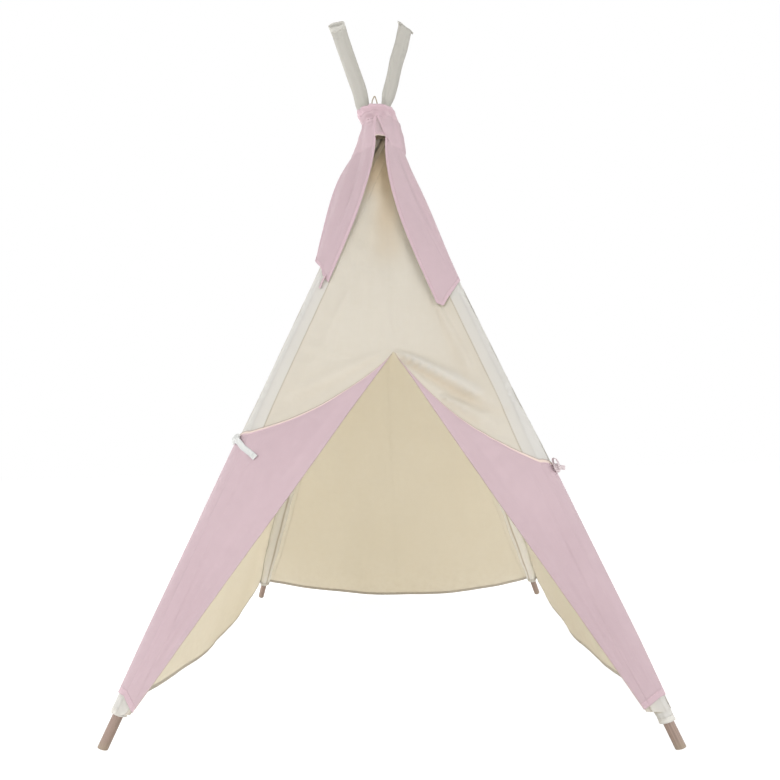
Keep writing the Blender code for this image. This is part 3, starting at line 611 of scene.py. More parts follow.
def clothMaterial(name, k):
    # k: the colours, the thread count, the rumples, the hem's width and how much light passes
    mat, tree, shader = newMaterial(name, k["light"])
    uv = put(tree, "ShaderNodeUVMap", uv_map="cloth").outputs[0]
    place = put(tree, "ShaderNodeTexCoord").outputs["Object"]
    weave = useGroup(tree, weaveGroup, {"Vector": uv, "Threads per Metre": k["threads"], "Slub": k["slub"]})
    age = useGroup(tree, ageGroup, {"Vector": place, "Rumple Scale": k["rumple"], "Soil Height": 0.16})
    hem = useGroup(tree, hemGroup, {"Distance": mark(tree, "edge"), "Width": k["hemWidth"]})
    colour = tint(tree, ramp(tree, age["Tone"], 0.25, 0.8), k["light"], k["dark"])
    colour = tint(tree, ramp(tree, weave["Tone"], 0.15, 0.85, 0.0, 0.35), colour, k["thread"])
    # tints over the cloth: the sleeves' white band (also a painted highlight on the front's crests), the hem (darker as
    # painted shade in its fold), seam lines (partly painted shade), painted shade, and soil
    shares = {"band": mark(tree, "band"), "hem": hem["Hem"],
              "piping": maths(tree, "MAXIMUM", mark(tree, "piping"), mark(tree, "seam")),
              "worn": mark(tree, "worn"), "soil": maths(tree, "MULTIPLY", age["Soil"], 0.16)}
    for label, share in shares.items():
        colour = tint(tree, share, colour, k[label])
    fine = relief(tree, weave["Height"], 0.5, 0.00022)
    rough = relief(tree, age["Rumple"], k["rumpleStrength"], 0.006, fine)
    step = relief(tree, hem["Step"], 0.8, 0.0009, rough)
    plug(tree, shader, {
        "Base Color": colour, "Sheen Weight": k["sheen"], "Sheen Roughness": 0.55, "Specular IOR Level": 0.25,
        "Roughness": ramp(tree, weave["Height"], 0.2, 1.4, 0.95, 0.78), "Normal": step})
    through = put(tree, "ShaderNodeBsdfTranslucent", {"Color": tint(tree, 0.7, colour, k["warm"]), "Normal": step})
    single = maths(tree, "SUBTRACT", 1.0, maths(tree, "MULTIPLY", hem["Hem"], 0.8))
    share = maths(tree, "MULTIPLY", single, k["through"])
    blend = put(tree, "ShaderNodeMixShader", {0: share, 1: shader.outputs[0], 2: through.outputs[0]})
    plug(tree, tree.nodes["Material Output"], {"Surface": blend.outputs[0]})
    return mat


def plainMaterial(name, k):
    # thread, cord and tube: two tones over a twist
    mat, tree, shader = newMaterial(name, k["light"])
    place = put(tree, "ShaderNodeTexCoord").outputs["Object"]
    tone = noise(tree, place, k["scale"], 3.0)
    plug(tree, shader, {
        "Base Color": tint(tree, ramp(tree, tone, 0.3, 0.75), k["light"], k["dark"]),
        "Roughness": ramp(tree, tone, 0.2, 0.8, k["rough"] - 0.08, k["rough"] + 0.08),
        "Metallic": k.get("metallic", 0.0), "Sheen Weight": k.get("sheen", 0.2),
        "Normal": relief(tree, tone, 0.4, 0.0004)})
    return mat


def woodMaterial(name, k):
    mat, tree, shader = newMaterial(name, k["light"])
    place = put(tree, "ShaderNodeAttribute", attribute_name="grain").outputs["Vector"]
    grain = useGroup(tree, grainGroup, {"Vector": place, "Rings per Metre": k["rings"]})
    colour = tint(tree, grain["Grain"], k["light"], k["dark"])
    shares = {"warm": ramp(tree, grain["Tone"], 0.3, 0.7, 0.0, 0.5),
              "pore": maths(tree, "MULTIPLY", grain["Pores"], 0.35),
              "endGrain": maths(tree, "MULTIPLY", mark(tree, "worn"), 0.6)}
    for label, share in shares.items():
        colour = tint(tree, share, colour, k[label])
    lines = relief(tree, grain["Grain"], 0.25, 0.0003)
    links = {"Height": grain["Pores"], "Strength": 0.3, "Distance": 0.0002, "Normal": lines}
    pores = put(tree, "ShaderNodeBump", links, invert=True).outputs[0]
    rough = ramp(tree, grain["Grain"], 0.0, 1.0, 0.62, 0.5)
    plug(tree, shader, {"Base Color": colour, "Roughness": rough, "Normal": pores})
    return mat


# the sleeves' white, and the brown of seam lines, which are partly painted shade
sleeveWhite, seamAndShadeBrown = (0.80, 0.79, 0.765), (0.45, 0.39, 0.30)
# for each cloth: band is the sleeves' white, also painted as a highlight on the front's crests; hem is the turned hem,
# darker than the cloth as painted shade in its fold; piping is the colour of seam lines, on the cream and white cloth
# partly painted shade, on the pink the cream of the lining's edge; the colour after piping is painted shade
clothLooks = {
    "creamCanvas": {
        "light": (0.80, 0.77, 0.71), "dark": (0.76, 0.72, 0.645), "thread": (0.72, 0.67, 0.585),
        "hem": (0.60, 0.55, 0.48), "band": sleeveWhite, "piping": seamAndShadeBrown, "worn": (0.70, 0.55, 0.36),
        "soil": (0.55, 0.48, 0.38), "warm": (0.83, 0.785, 0.675), "threads": 1300.0, "slub": 0.6,
        "rumple": 13.0, "rumpleStrength": 0.35, "hemWidth": 0.009, "sheen": 0.12, "through": 0.55},
    "whiteCanvas": {
        "light": sleeveWhite, "dark": (0.735, 0.72, 0.68), "thread": (0.69, 0.665, 0.61),
        "hem": (0.72, 0.70, 0.65), "band": sleeveWhite, "piping": seamAndShadeBrown, "worn": (0.535, 0.52, 0.475),
        "soil": (0.55, 0.50, 0.43), "warm": (0.84, 0.80, 0.70), "threads": 1300.0, "slub": 0.5,
        "rumple": 20.0, "rumpleStrength": 0.45, "hemWidth": 0.008, "sheen": 0.12, "through": 0.25},
    "pinkCanvas": {
        "light": (0.625, 0.475, 0.512), "dark": (0.585, 0.437, 0.478), "thread": (0.65, 0.523, 0.55),
        "hem": (0.60, 0.442, 0.486), "band": (0.80, 0.68, 0.60), "piping": (0.80, 0.67, 0.58),
        "worn": (0.34, 0.27, 0.255), "soil": (0.46, 0.37, 0.37), "warm": (0.68, 0.52, 0.54), "threads": 1500.0,
        "slub": 0.45, "rumple": 12.0, "rumpleStrength": 0.3, "hemWidth": 0.010, "sheen": 0.15, "through": 0.12},
}
creamCanvas, whiteCanvas, pinkCanvas = (clothMaterial(name, look) for name, look in clothLooks.items())


def changedCloth(name, like, **changes):
    return clothMaterial(name, {**clothLooks[like], **changes})


tapeLook = {"threads": 2200.0, "rumple": 60.0, "hemWidth": 0.0008, "through": 0.15}
# the back sleeves' inner side: the cream canvas painted near white, as painted light on a side that lies in shade, with
# a darker piping for the painted shade of the inner corner
liningCanvas = changedCloth("liningCanvas", "creamCanvas", light=(0.96, 0.95, 0.92), dark=(0.94, 0.93, 0.89),
                            thread=(0.92, 0.905, 0.86), piping=(0.52, 0.45, 0.36), through=0.0)
facingCanvas = changedCloth("facingCanvas", "creamCanvas", through=0.08)
frontCanvas = changedCloth("frontCanvas", "creamCanvas", through=0.38)
tapeCloth = changedCloth("tapeCloth", "whiteCanvas", light=(0.80, 0.82, 0.81), dark=(0.72, 0.74, 0.73),
                         hem=(0.74, 0.75, 0.75), piping=(0.70, 0.70, 0.69), **tapeLook)
blushTape = changedCloth("blushTape", "whiteCanvas", light=(0.78, 0.67, 0.70), dark=(0.70, 0.58, 0.61),
                         hem=(0.72, 0.60, 0.63), piping=(0.66, 0.55, 0.58), **tapeLook)
plainLooks = {
    "creamThread": {"light": (0.82, 0.78, 0.70), "dark": (0.70, 0.65, 0.56), "scale": 900.0, "rough": 0.7},
    "pinkThread": {"light": (0.74, 0.56, 0.60), "dark": (0.64, 0.46, 0.51), "scale": 900.0, "rough": 0.7},
    "cordCotton": {"light": (0.50, 0.42, 0.31), "dark": (0.36, 0.29, 0.20), "scale": 700.0, "rough": 0.85},
    "joinerSteel": {"light": (0.60, 0.60, 0.61), "dark": (0.46, 0.46, 0.47), "scale": 120.0, "rough": 0.36,
                    "metallic": 1.0, "sheen": 0.0},
}
creamThread, pinkThread, cordCotton, joinerSteel = (plainMaterial(name, look) for name, look in plainLooks.items())
dowelWood = woodMaterial("dowelWood", {
    "light": (0.335, 0.248, 0.20), "dark": (0.24, 0.172, 0.135), "warm": (0.305, 0.205, 0.172),
    "pore": (0.14, 0.098, 0.075), "endGrain": (0.34, 0.28, 0.20), "rings": 620.0})
print("materials ready")


# Stitches, as Geometry Nodes along curves

def buildStitchTree():
    tree = bpy.data.node_groups.new("stitchRow", "GeometryNodeTree")
    inputs = {"Seams": "Geometry", "Stitch Length": "Float", "Gap": "Float", "Thread Radius": "Float",
              "Finish": "Material"}
    for label, kind in inputs.items():
        tree.interface.new_socket(name=label, in_out="INPUT", socket_type="NodeSocket" + kind)
    tree.interface.new_socket(name="Stitches", in_out="OUTPUT", socket_type="NodeSocketGeometry")
    start, end = tree.nodes.new("NodeGroupInput").outputs, tree.nodes.new("NodeGroupOutput")
    pitch = maths(tree, "ADD", start["Stitch Length"], start["Gap"])
    points = put(tree, "GeometryNodeCurveToPoints", {"Curve": start["Seams"], "Length": pitch}, mode="LENGTH").outputs
    ball = put(tree, "GeometryNodeMeshUVSphere", {"Segments": 6, "Rings": 4, "Radius": 1.0}).outputs["Mesh"]
    half, radius = maths(tree, "MULTIPLY", start["Stitch Length"], 0.5), start["Thread Radius"]
    size = put(tree, "ShaderNodeCombineXYZ", {0: radius, 1: radius, 2: half}).outputs[0]
    one = put(tree, "GeometryNodeTransform", {"Geometry": ball, "Scale": size}).outputs[0]
    spread = {"Points": points["Points"], "Instance": one, "Rotation": points["Rotation"]}
    many = put(tree, "GeometryNodeInstanceOnPoints", spread).outputs[0]
    real = put(tree, "GeometryNodeRealizeInstances", {"Geometry": many}).outputs[0]
    done = put(tree, "GeometryNodeSetMaterial", {"Geometry": real, "Material": start["Finish"]}).outputs[0]
    plug(tree, end, {0: done})
    return tree


stitchTree = buildStitchTree()
stitchSet = {"Stitch Length": 0.0042, "Gap": 0.0018, "Thread Radius": 0.00032}
stitchLift = 0.0002  # off the cloth


def stitchRow(name, paths, finish):
    # paths: arrays of points in the row frame, already lifted onto the cloth
    curve = bpy.data.curves.new(name, "CURVE")
    curve.dimensions = "3D"
    for path in paths:
        line = curve.splines.new("POLY")
        line.points.add(len(path) - 1)
        places = np.concatenate([path, np.ones((len(path), 1))], 1)
        line.points.foreach_set("co", places.astype(np.float32).ravel())
    drawn = bpy.data.objects.new(name + "Line", curve)
    scene.collection.objects.link(drawn)
    rows = drawn.modifiers.new("Stitches", "NODES")
    rows.node_group = stitchTree
    sockets = {item.name: item.identifier for item in stitchTree.interface.items_tree if item.in_out == "INPUT"}
    for label, value in {**stitchSet, "Finish": finish}.items():
        rows[sockets[label]] = value
    bpy.context.view_layer.update()
    mesh = bpy.data.meshes.new_from_object(drawn.evaluated_get(bpy.context.evaluated_depsgraph_get()))
    mesh.name = name
    bpy.data.objects.remove(drawn)
    mesh.polygons.foreach_set("use_smooth", np.ones(len(mesh.polygons), bool))
    made = bpy.data.objects.new(name, mesh)
    scene.collection.objects.link(made)
    return made


def alongGrid(points, normals, cloth, rows, cols):
    # a line over a sheet, given by its places in the grid
    rows, cols = spread(rows, cols)
    r = np.clip(rows, 0, points.shape[0] - 1.001)
    c = np.clip(cols, 0, points.shape[1] - 1.001)
    i, j = r.astype(int), c.astype(int)
    fr, fc = (r - i)[:, None], (c - j)[:, None]

    def at(g):
        return mix(mix(g[i, j], g[i, j + 1], fc), mix(g[i + 1, j], g[i + 1, j + 1], fc), fr)

    return at(points) + unit(at(normals)) * (cloth / 2 + stitchLift)


def gridPlaces(points, distance, fromEnd, axis):
    # for each line of the grid, the index at a distance from its first or last point
    lines = points if axis == 0 else points.transpose(1, 0, 2)
    run = runAlong(lines[::-1] if fromEnd else lines, 0)
    found = np.array([np.interp(distance, way, np.arange(len(way))) for way in run.T])
    return len(run) - 1 - found if fromEnd else found


def sew(name, points, normals, cloth, lines, finish):
    # rows of stitches over a sheet: each line is a pair of rows and columns in its grid
    return stitchRow(name + "Stitches", [alongGrid(points, normals, cloth, *line) for line in lines], finish)


# Each half of a panel, and each flap, gets a mesh of its own

gatherSet = {"at": 0.7, "keep": 0.225}  # the place on the poles that is measured, and the width that stays


def gather(piece, leg, other, anchor):
    chord = unit(other.point(gatherSet["at"]) - leg.point(gatherSet["at"]))
    tuple(anchor)
    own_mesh(piece)


def dress(piece, body, slot, *nodes):
    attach(piece, body)
    if nodes:
        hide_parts(*nodes)
    return piece


# Poles

def addPole(leg, part, start, end):
    k = poleSet
    sides, radius, bevel = k["sides"], k["radius"], k["bevel"]
    profile = [(radius - bevel, 0.0), (radius - bevel * 0.3, bevel * 0.3), (radius, bevel)]
    stations = [(r, start + z) for r, z in profile]
    stations += [(radius, start + (end - start) * t) for t in np.linspace(0.02, 0.98, k["stations"])]
    stations += [(r, end - z) for r, z in reversed(profile)]
    turn = 2 * math.pi * np.arange(sides) / sides
    local = [[r * math.cos(a), r * math.sin(a), s] for r, s in stations for a in turn]
    local = np.array(local + [[0, 0, stations[0][1]], [0, 0, stations[-1][1]]])
    last = len(stations) * sides
    faces = tubeFaces(len(stations), sides) + [((i + 1) % sides, i, last) for i in range(sides)]
    faces += [(last - sides + i, last - sides + (i + 1) % sides, last + 1) for i in range(sides)]
    world = leg.foot + local[:, :1] * leg.side + local[:, 1:2] * -leg.out + local[:, 2:] * leg.along
    pole, mesh = newPiece(f"{leg.title}Pole{part}", world, faces, [dowelWood])
    mesh.set_sharp_from_angle(angle=math.radians(30))
    setMark(mesh, "grain", local + [0, 0, leg.grain], "FLOAT_VECTOR")
    fromEnd = np.minimum(np.abs(local[:, 2] - start), np.abs(local[:, 2] - end))
    setMark(mesh, "worn", 1 - smooth(fromEnd / k["wornEnd"]))
    dress(pole, leg.body, "pole_wood", f"{leg.name}_pole_{part.lower()}")


for leg in legs.values():
    addPole(leg, "Lower", 0.0, poleSet["half"] - poleSet["halfGap"])
    addPole(leg, "Upper", poleSet["half"] + poleSet["halfGap"], leg.pole)
    joiner = frame["nodes"][leg.name + "_joiner"]
    joiner.data.materials.clear()
    joiner.data.materials.append(joinerSteel)
print("poles ready")


# Sleeves

def sleeveGrid(leg, rows=260, sides=56):
    k, seed = sleeveSet, leg.seed
    top = leg.pole + (k["tipRun"] if leg.isBack else k["frontCap"])
    turn = np.linspace(0, 2 * math.pi, sides, endpoint=False)[None, :]
    s, turn = spread(np.linspace(leg.bare, top, rows)[:, None], turn)
    (wide, deep), pinch = sleeveSize(leg, s), sleevePinch(leg, s)
    upper, foot = after(s, leg.length, 0.05), before(s, leg.bare, 0.10)
    winding = 2 * math.pi * (s / k["twistEvery"] + turn / (2 * math.pi))
    twist = np.sin(winding + 2.2 * softNoise(s * 6, 0.0, seed)) * k["twist"]
    pleats = np.cos(7 * turn + 4 * softNoise(s * 9, 0.0, seed + 2)) * k["pleat"] * (pinch + upper)
    soft = layeredNoise(turn * 1.3, s * 16, seed + 5) * k["soft"] * (1 - pinch * 0.7)
    crimp = np.sin(2 * math.pi * s / k["crimpEvery"] + 2 * np.sin(turn * 2)) * k["crimp"] * foot
    flare = foot ** 2 * k["footFlare"] * (0.6 + 0.4 * np.cos(3 * turn + seed))
    ruck, tip, cut, aside = (0.0 * s for _ in range(4))
    if not leg.isBack:  # where the door's tie holds the cloth
        waves = 2 * math.pi * s / k["ruckEvery"] + 2.5 * np.sin(turn + seed) + 3 * softNoise(s * 30, turn, seed)
        ruck = np.sin(waves) * k["ruck"] * bump(s - leg.atHeight(k["ruckHeight"]), k["ruckWidth"])
    off = twist * (1 - pinch) + pleats + soft + crimp + flare + ruck
    off = np.maximum(off, np.where(deep < 0.0125, -0.0002, -0.0011))
    if leg.isBack:
        end, tip = tipSet[leg.name], after(s, leg.pole, k["tipRun"])
        rim = end["rimSide"] * np.cos(turn) + end["rimBack"] * np.sin(turn) - end["drop"]
        cut = tip * (rim + k["rimWave"] * np.sin(5 * turn + seed))
        loose = smooth((s - leg.length - 0.062) / 0.06)
        off = off * (1 - 0.85 * tip) + loose * (1 - tip) * end["wider"]
        aside = smooth((s - leg.length - 0.098) / 0.05) * end["slack"]
    place = leg.point(s + cut) + aside[..., None] * (np.array([1.0, 0, 0]) - leg.along[0] * leg.along)
    for size, way in ((np.cos(turn) * (wide + off), leg.side), (np.sin(turn) * (deep + off), leg.out)):
        place = place + size[..., None] * way
    flat = closeRow(np.stack([turn * k["flatRadius"], s], -1), [2 * math.pi * k["flatRadius"], 0])
    fromCorner = np.abs(np.degrees(turn) - 270)
    nearTop, corner = s < leg.length + k["overCrossing"], fromCorner < k["corner"]
    inTent = corner & (s < leg.length - k["underTop"]) & (s > leg.bare + k["overFoot"])
    # painted shade: the sleeves' tips above the crossing are painted greyer
    worn = smooth((s - leg.length - 0.04) / 0.05) * k["tipPaintedShade"]
    # a dark line painted along the inner corner: a seam, partly painted shade of the pole
    line = k["line"] * bump(fromCorner / k["lineWide"], 1.0) * inTent
    if not leg.isBack:  # under the cap and the tails the cream cloth runs on round the pole
        # painted shade on the sleeve under the cap and the tails, where the corner line fades out
        underCap = after(s, leg.atHeight(k["capShadeFrom"]), 0.16) * nearTop
        wider = (fromCorner < k["cornerWide"]) | (s > leg.atHeight(k["capWideFrom"]))
        inTent = inTent | ((s > leg.atHeight(k["capFrom"])) & nearTop & wider)
        worn = np.maximum(worn, k["dull"] * underCap)
        line = line * (1 - underCap)
    else:  # inside the cap the cloth of the back poles gets painted shade, as that of the front ones does
        inTent = inTent | (s > leg.length - 0.05) & nearTop & (corner | (s > leg.length - k["overCrossing"]))
        worn = np.maximum(worn, k["backCapShade"] * smooth((s - leg.length + 0.17) / 0.09) * inTent)
    marks = {"edge": np.minimum(s - leg.bare, top - s), "worn": worn, "piping": line}
    return place, flat, marks, s, inTent[:-1]


def addSleeve(leg):
    k = sleeveSet
    points, flat, marks, s, inTent = sleeveGrid(leg)
    normals = gridNormals(points, points - leg.point(s), closed=True)
    finishes = [whiteCanvas, liningCanvas if leg.isBack else creamCanvas, whiteCanvas]
    name = leg.title + "Sleeve"
    middle = points - normals * k["cloth"] / 2
    sleeve = gridSolid(name, middle, normals, k["cloth"], finishes, flat, True, marks, inTent)
    dress(sleeve, leg.body, "sleeve_canvas", leg.name + "_sleeve")
    top, around = float(s[-1, 0]), np.linspace(0, points.shape[1] - 1.001, 80)
    heights = (leg.bare + k["footStitch"], top - k["backStitch" if leg.isBack else "frontStitch"])
    lines = [((away - leg.bare) / (top - leg.bare) * (points.shape[0] - 1), around) for away in heights]
    stitches = dress(sew(name, points, normals, 0.0, lines, creamThread), leg.body, "sleeve_canvas")
    declareSheet(sleeve, closeRow(points))


for leg in legs.values():
    addSleeve(leg)
print("sleeves ready")


# Cover: each panel is made whole and parted at its middle, and each half gets a mesh of its own

panelGrid = {
    "rows": 120, "halfColumns": 56, "frontRows": 190, "rowsOverDoor": 120, "frontColumns": 72, "step": 0.002,
    "hemStitch": 0.0065, "doorStitch": 0.006, "bandStitch": coverSet["band"] + 0.0030,
    # distances from a seam, close together where the white edge ends
    "near": (0, 0.0012, 0.006, 0.012, 0.018, 0.0222, 0.0230, 0.0235, 0.0240, 0.0244, 0.0248, 0.0253, 0.0260, 0.0275,
             0.031),
}


def seamColumns(width, reach, count):
    near = np.array(panelGrid["near"])
    near = near[None, :] * np.minimum(1, 0.5 * reach / near[-1])
    rest = np.linspace(0, 1, count + 2 - near.shape[1])[1:] ** 1.1
    return np.concatenate([near, near[:, -1:] + (reach - near[:, -1:]) * rest[None, :]], 1) / width


# heights of what is seen between the tails and under the cap: where the white edges end, and the painted shade in the
# slit and in a spot below it
slitSet = {"edgeEnd": 0.965, "from": 1.03, "fullFrom": 1.14, "wide": 0.030, "middle": 0.004, "shadeSpotFrom": 0.96,
           "shadeSpotTo": 1.10, "shadeSpotWide": 0.034}


def frontMarks(leg, points, u, s, width, band, line):
    # the white edges end at the tails; the slit under the cap and the hollows of the folds get painted shade, and the
    # crests of the folds a painted highlight
    k, high = slitSet, leg.point(s)[..., 2]
    shown = before(high, k["edgeEnd"], 0.03)
    side = np.abs((u - 0.5) * width - k["middle"])
    slitShade = after(high, k["from"], 0.20) * mix(0.85 * bump(side, k["wide"]), 1.0, after(high, k["fullFrom"], 0.13))
    slitShade = slitShade * (0.9 + 0.1 * softNoise(side * 40, high * 9, 3))
    shadeSpot = 0.25 * bump(side - 0.006, k["shadeSpotWide"]) * after(high, k["shadeSpotFrom"], 0.09) * before(high, k["shadeSpotTo"], 0.1)
    crest, shade = ridgeField(points[..., 0], points[..., 2])
    # painted highlight: the crests of the folds take the band's white; painted shade in the slit, the spot and the
    # hollows
    return {"band": np.maximum(band * shown, 0.6 * after(crest, 0.006, 0.007)), "seam": 0.75 * line * shown,
            "worn": np.clip(0.9 * slitShade + shadeSpot + 0.32 * shade, 0, 1)}


def addHalf(panel, isFirst, u, s, edge, stitchPlaces):
    leg, other = (panel.a, panel.b) if isFirst else (panel.b, panel.a)
    name = f"{panel.name.split('_')[0]}PanelBy{leg.capital}"
    points = panel.point(u, s)
    normals = surfaceNormals(panel.point, u, s, panelGrid["step"], panel.normal(u, s))
    sewn = np.minimum(u, 1 - u) < 1e-6
    points = points - panel.normal(u, s) * np.where(sewn, coverSet["sewnIn"], 0.0)[..., None]
    width = panel.width(s)
    reach = np.minimum(u, 1 - u) * width
    band = before(reach, coverSet["band"], 0.0006)
    # a dark line along the white band's edge and at the seam: seam lines, darkened as painted shadow of the sleeve's
    # edge
    line = bump(reach - coverSet["band"] - 0.0006, 0.0010) + 0.35 * bump(reach, 0.0010)
    marks = {"edge": edge, "band": band, "seam": 0.75 * line}
    if panel is front:
        marks.update(frontMarks(leg, points, u, s, width, band, line))
    finish = frontCanvas if panel is front else creamCanvas
    flat = np.stack([(u - 0.5) * width, s], -1)
    half = gridSolid(name, points, normals, coverSet["cloth"], [finish], flat, marks=marks)
    dress(half, leg.body, "cream_canvas", panel.name)
    paths = [alongGrid(points, normals * side, coverSet["cloth"], *line)
             for line in stitchPlaces(points) for side in (1, -1)]
    stitches = dress(stitchRow(name + "Stitches", paths, creamThread), leg.body, "cream_canvas")
    anchor = panel.seams(np.array([gatherSet["at"]]))[0 if isFirst else 1][0]
    for piece in (half, stitches):
        gather(piece, leg, other, anchor)
    declareSheet(half, points)


def addPanel(panel):
    rows, cols, top = panelGrid["rows"], panelGrid["halfColumns"], panel.top + coverSet["topRise"]
    share = (np.linspace(0, 1, rows + 1) ** 1.15)[:, None]
    width = panel.width(mix(top, panel.hem(0.02), share[:, 0]))[:, None]
    for isFirst in (True, False):
        u = seamColumns(width, width / 2, cols)
        u = u if isFirst else 1 - u[:, ::-1]
        hem = panel.hem(u)
        s = mix(top, hem, share)

        def stitchPlaces(points):
            yield gridPlaces(points, panelGrid["hemStitch"], True, 0), np.arange(cols + 1)
            yield np.arange(rows + 1), gridPlaces(points, panelGrid["bandStitch"], not isFirst, 1)

        addHalf(panel, isFirst, u, s, s - hem, stitchPlaces)


def addFrontPanel():
    rows, cols, over = (panelGrid[name] for name in ("frontRows", "frontColumns", "rowsOverDoor"))
    above = mix(front.top + coverSet["topRise"], doorTop, np.linspace(0, 1, over) ** 1.1)
    s = np.concatenate([above, np.linspace(doorTop, doorFoot, rows - over + 2)[1:]])[:, None]
    width = front.width(s[:, 0])[:, None]
    below = np.arange(over, rows + 1)
    for side, k in sideSet.items():
        inner = doorEdge(np.minimum(s, doorTop), side)
        inner = np.where(s > doorTop, mix(inner, 0.5, (s - doorTop) / (front.top - doorTop)), inner)
        u = np.abs(k["end"] - seamColumns(width, np.abs(inner - k["end"]) * width, cols))
        full = np.broadcast_to(s, u.shape)
        edge = np.where(full < doorTop, np.abs(u - inner) * front.width(full), 1.0)
        edge = edge + 0.03 * smooth((full - doorTop + 0.125) / 0.03)  # the hem ends under the flaps

        def stitchPlaces(points):
            yield below, gridPlaces(points, panelGrid["doorStitch"], True, 1)[below]
            yield np.arange(rows + 1), gridPlaces(points, panelGrid["bandStitch"], False, 1)

        addHalf(front, side == "left", u, full, edge, stitchPlaces)


for panel in (right, back, left):
    addPanel(panel)
addFrontPanel()
print("cover ready")


# Door flaps

flapSet = {
    "startDrop": 0.007, "footHeight": 0.062, "topSag": 0.023, "cornerDrop": 0.018, "lift": 0.0021, "fold": 0.0020,
    "drift": 0.35, "slack": 0.0022, "creases": 0.0008, "least": 0.0012, "pull": 0.0016, "pullEvery": 0.11,
    "rows": 151, "columns": 73, "wrapColumns": 25, "rollColumns": 8, "rollFrom": -90, "rollTo": 60,
    "rollWide": 0.6, "rollHigh": 0.5, "hem": 0.0062, "stitch": 0.009, "firstStitch": 10,
    "fadeTop": 0.17, "fadeFoot": 0.2, "pullAt": 0.85, "pullWide": 0.22, "pullSlant": 0.8, "folds": 3,
    "left": {"top": 0.575, "hem": 0.088, "seed": 21}, "right": {"top": 0.500, "hem": 0.080, "seed": 34},
}
offSleeve = coverSet["seam"] + flapSet["lift"]


def wrapAngles(side, s):
    # round the pole, from where the front panel leaves it to where the side panel does
    k = sideSet[side]
    normals = front.normals(s)[k["end"]], k["panel"].normals(s)[1 - k["end"]]
    return [k["leg"].support(s, normal, offSleeve)[1] for normal in normals]


def flapTurn(side, q):
    # the line that the flap is folded along: its places on the pole's scale and over the panel
    start = doorSet["apexHeight"] - flapSet["startDrop"]
    s = sideSet[side]["leg"].atHeight(mix(start, flapSet["footHeight"], q))
    return s, doorEdge(s, side)


def flapPoint(side, r, q):
    # r: 0 at the fold, 1 at the pole, 2 behind it; q: 0 at the upper edge, 1 at the hem
    k, own, leg = flapSet, flapSet[side], sideSet[side]["leg"]
    r, q = spread(r, q)
    p, wrap = np.clip(r, 0.0, 1.0), np.clip(r - 1.0, 0.0, 1.0)
    innerS, innerU = flapTurn(side, q)
    outerS = leg.atHeight(mix(own["top"], own["hem"], q))
    s = mix(innerS, outerS, p) - (k["topSag"] * 4 * p * (1 - p) + k["cornerDrop"] * wrap ** 1.5) * (1 - q)
    rounded = leg.around(s, mix(*wrapAngles(side, s), wrap), offSleeve)
    u = mix(innerU, sideSet[side]["end"], p)
    fade = smooth(q / k["fadeTop"]) * smooth((1 - q) / k["fadeFoot"])
    folds = 0.5 + 0.5 * np.sin(2 * k["folds"] * math.pi * (p + k["drift"] * q))
    folds = folds * k["fold"] * (np.sin(math.pi * p) * fade)
    reach = p * np.linalg.norm(leg.point(innerS) - front.point(innerU, innerS), axis=-1)
    slack = layeredNoise(reach * 9, s * 1.6 + reach * 2.5, own["seed"]) * k["slack"]
    slack = slack + np.maximum(0.0, layeredNoise(reach * 26, s * 7, own["seed"] + 4)) * k["creases"]
    phase = (s - reach * k["pullSlant"]) / k["pullEvery"] + softNoise(s * 3, 0.0, own["seed"] + 9)
    pulls = np.sin(2 * math.pi * phase) * k["pull"] * bump(p - k["pullAt"], k["pullWide"]) * fade
    held = np.sin(math.pi * p) ** 0.6 * smooth(q / 0.05)
    over = np.maximum(0.0, folds + (slack + k["least"]) * held + pulls)
    lieOn = front.point(u, s) + front.normal(u, s) * (k["lift"] + over)[..., None]
    return np.where((wrap > 0)[..., None], rounded, lieOn)


def flapRoll(side, q, points):
    # the turned edge along the fold: the cloth rolls back to the panel that it was cut from
    k = flapSet
    innerS, innerU = flapTurn(side, q)
    lift = front.normal(innerU, innerS)
    inwards = unit(points[:, 0] - points[:, 3])
    centre = front.point(innerU, innerS) + lift * k["lift"] / 2
    turns = [math.radians(turn) for turn in np.linspace(k["rollFrom"], k["rollTo"], k["rollColumns"])]
    roll = np.stack([centre + inwards * math.cos(a) * k["lift"] * k["rollWide"]
                     + lift * math.sin(a) * k["lift"] * k["rollHigh"] for a in turns], 1)
    return roll, unit(roll - centre[:, None])


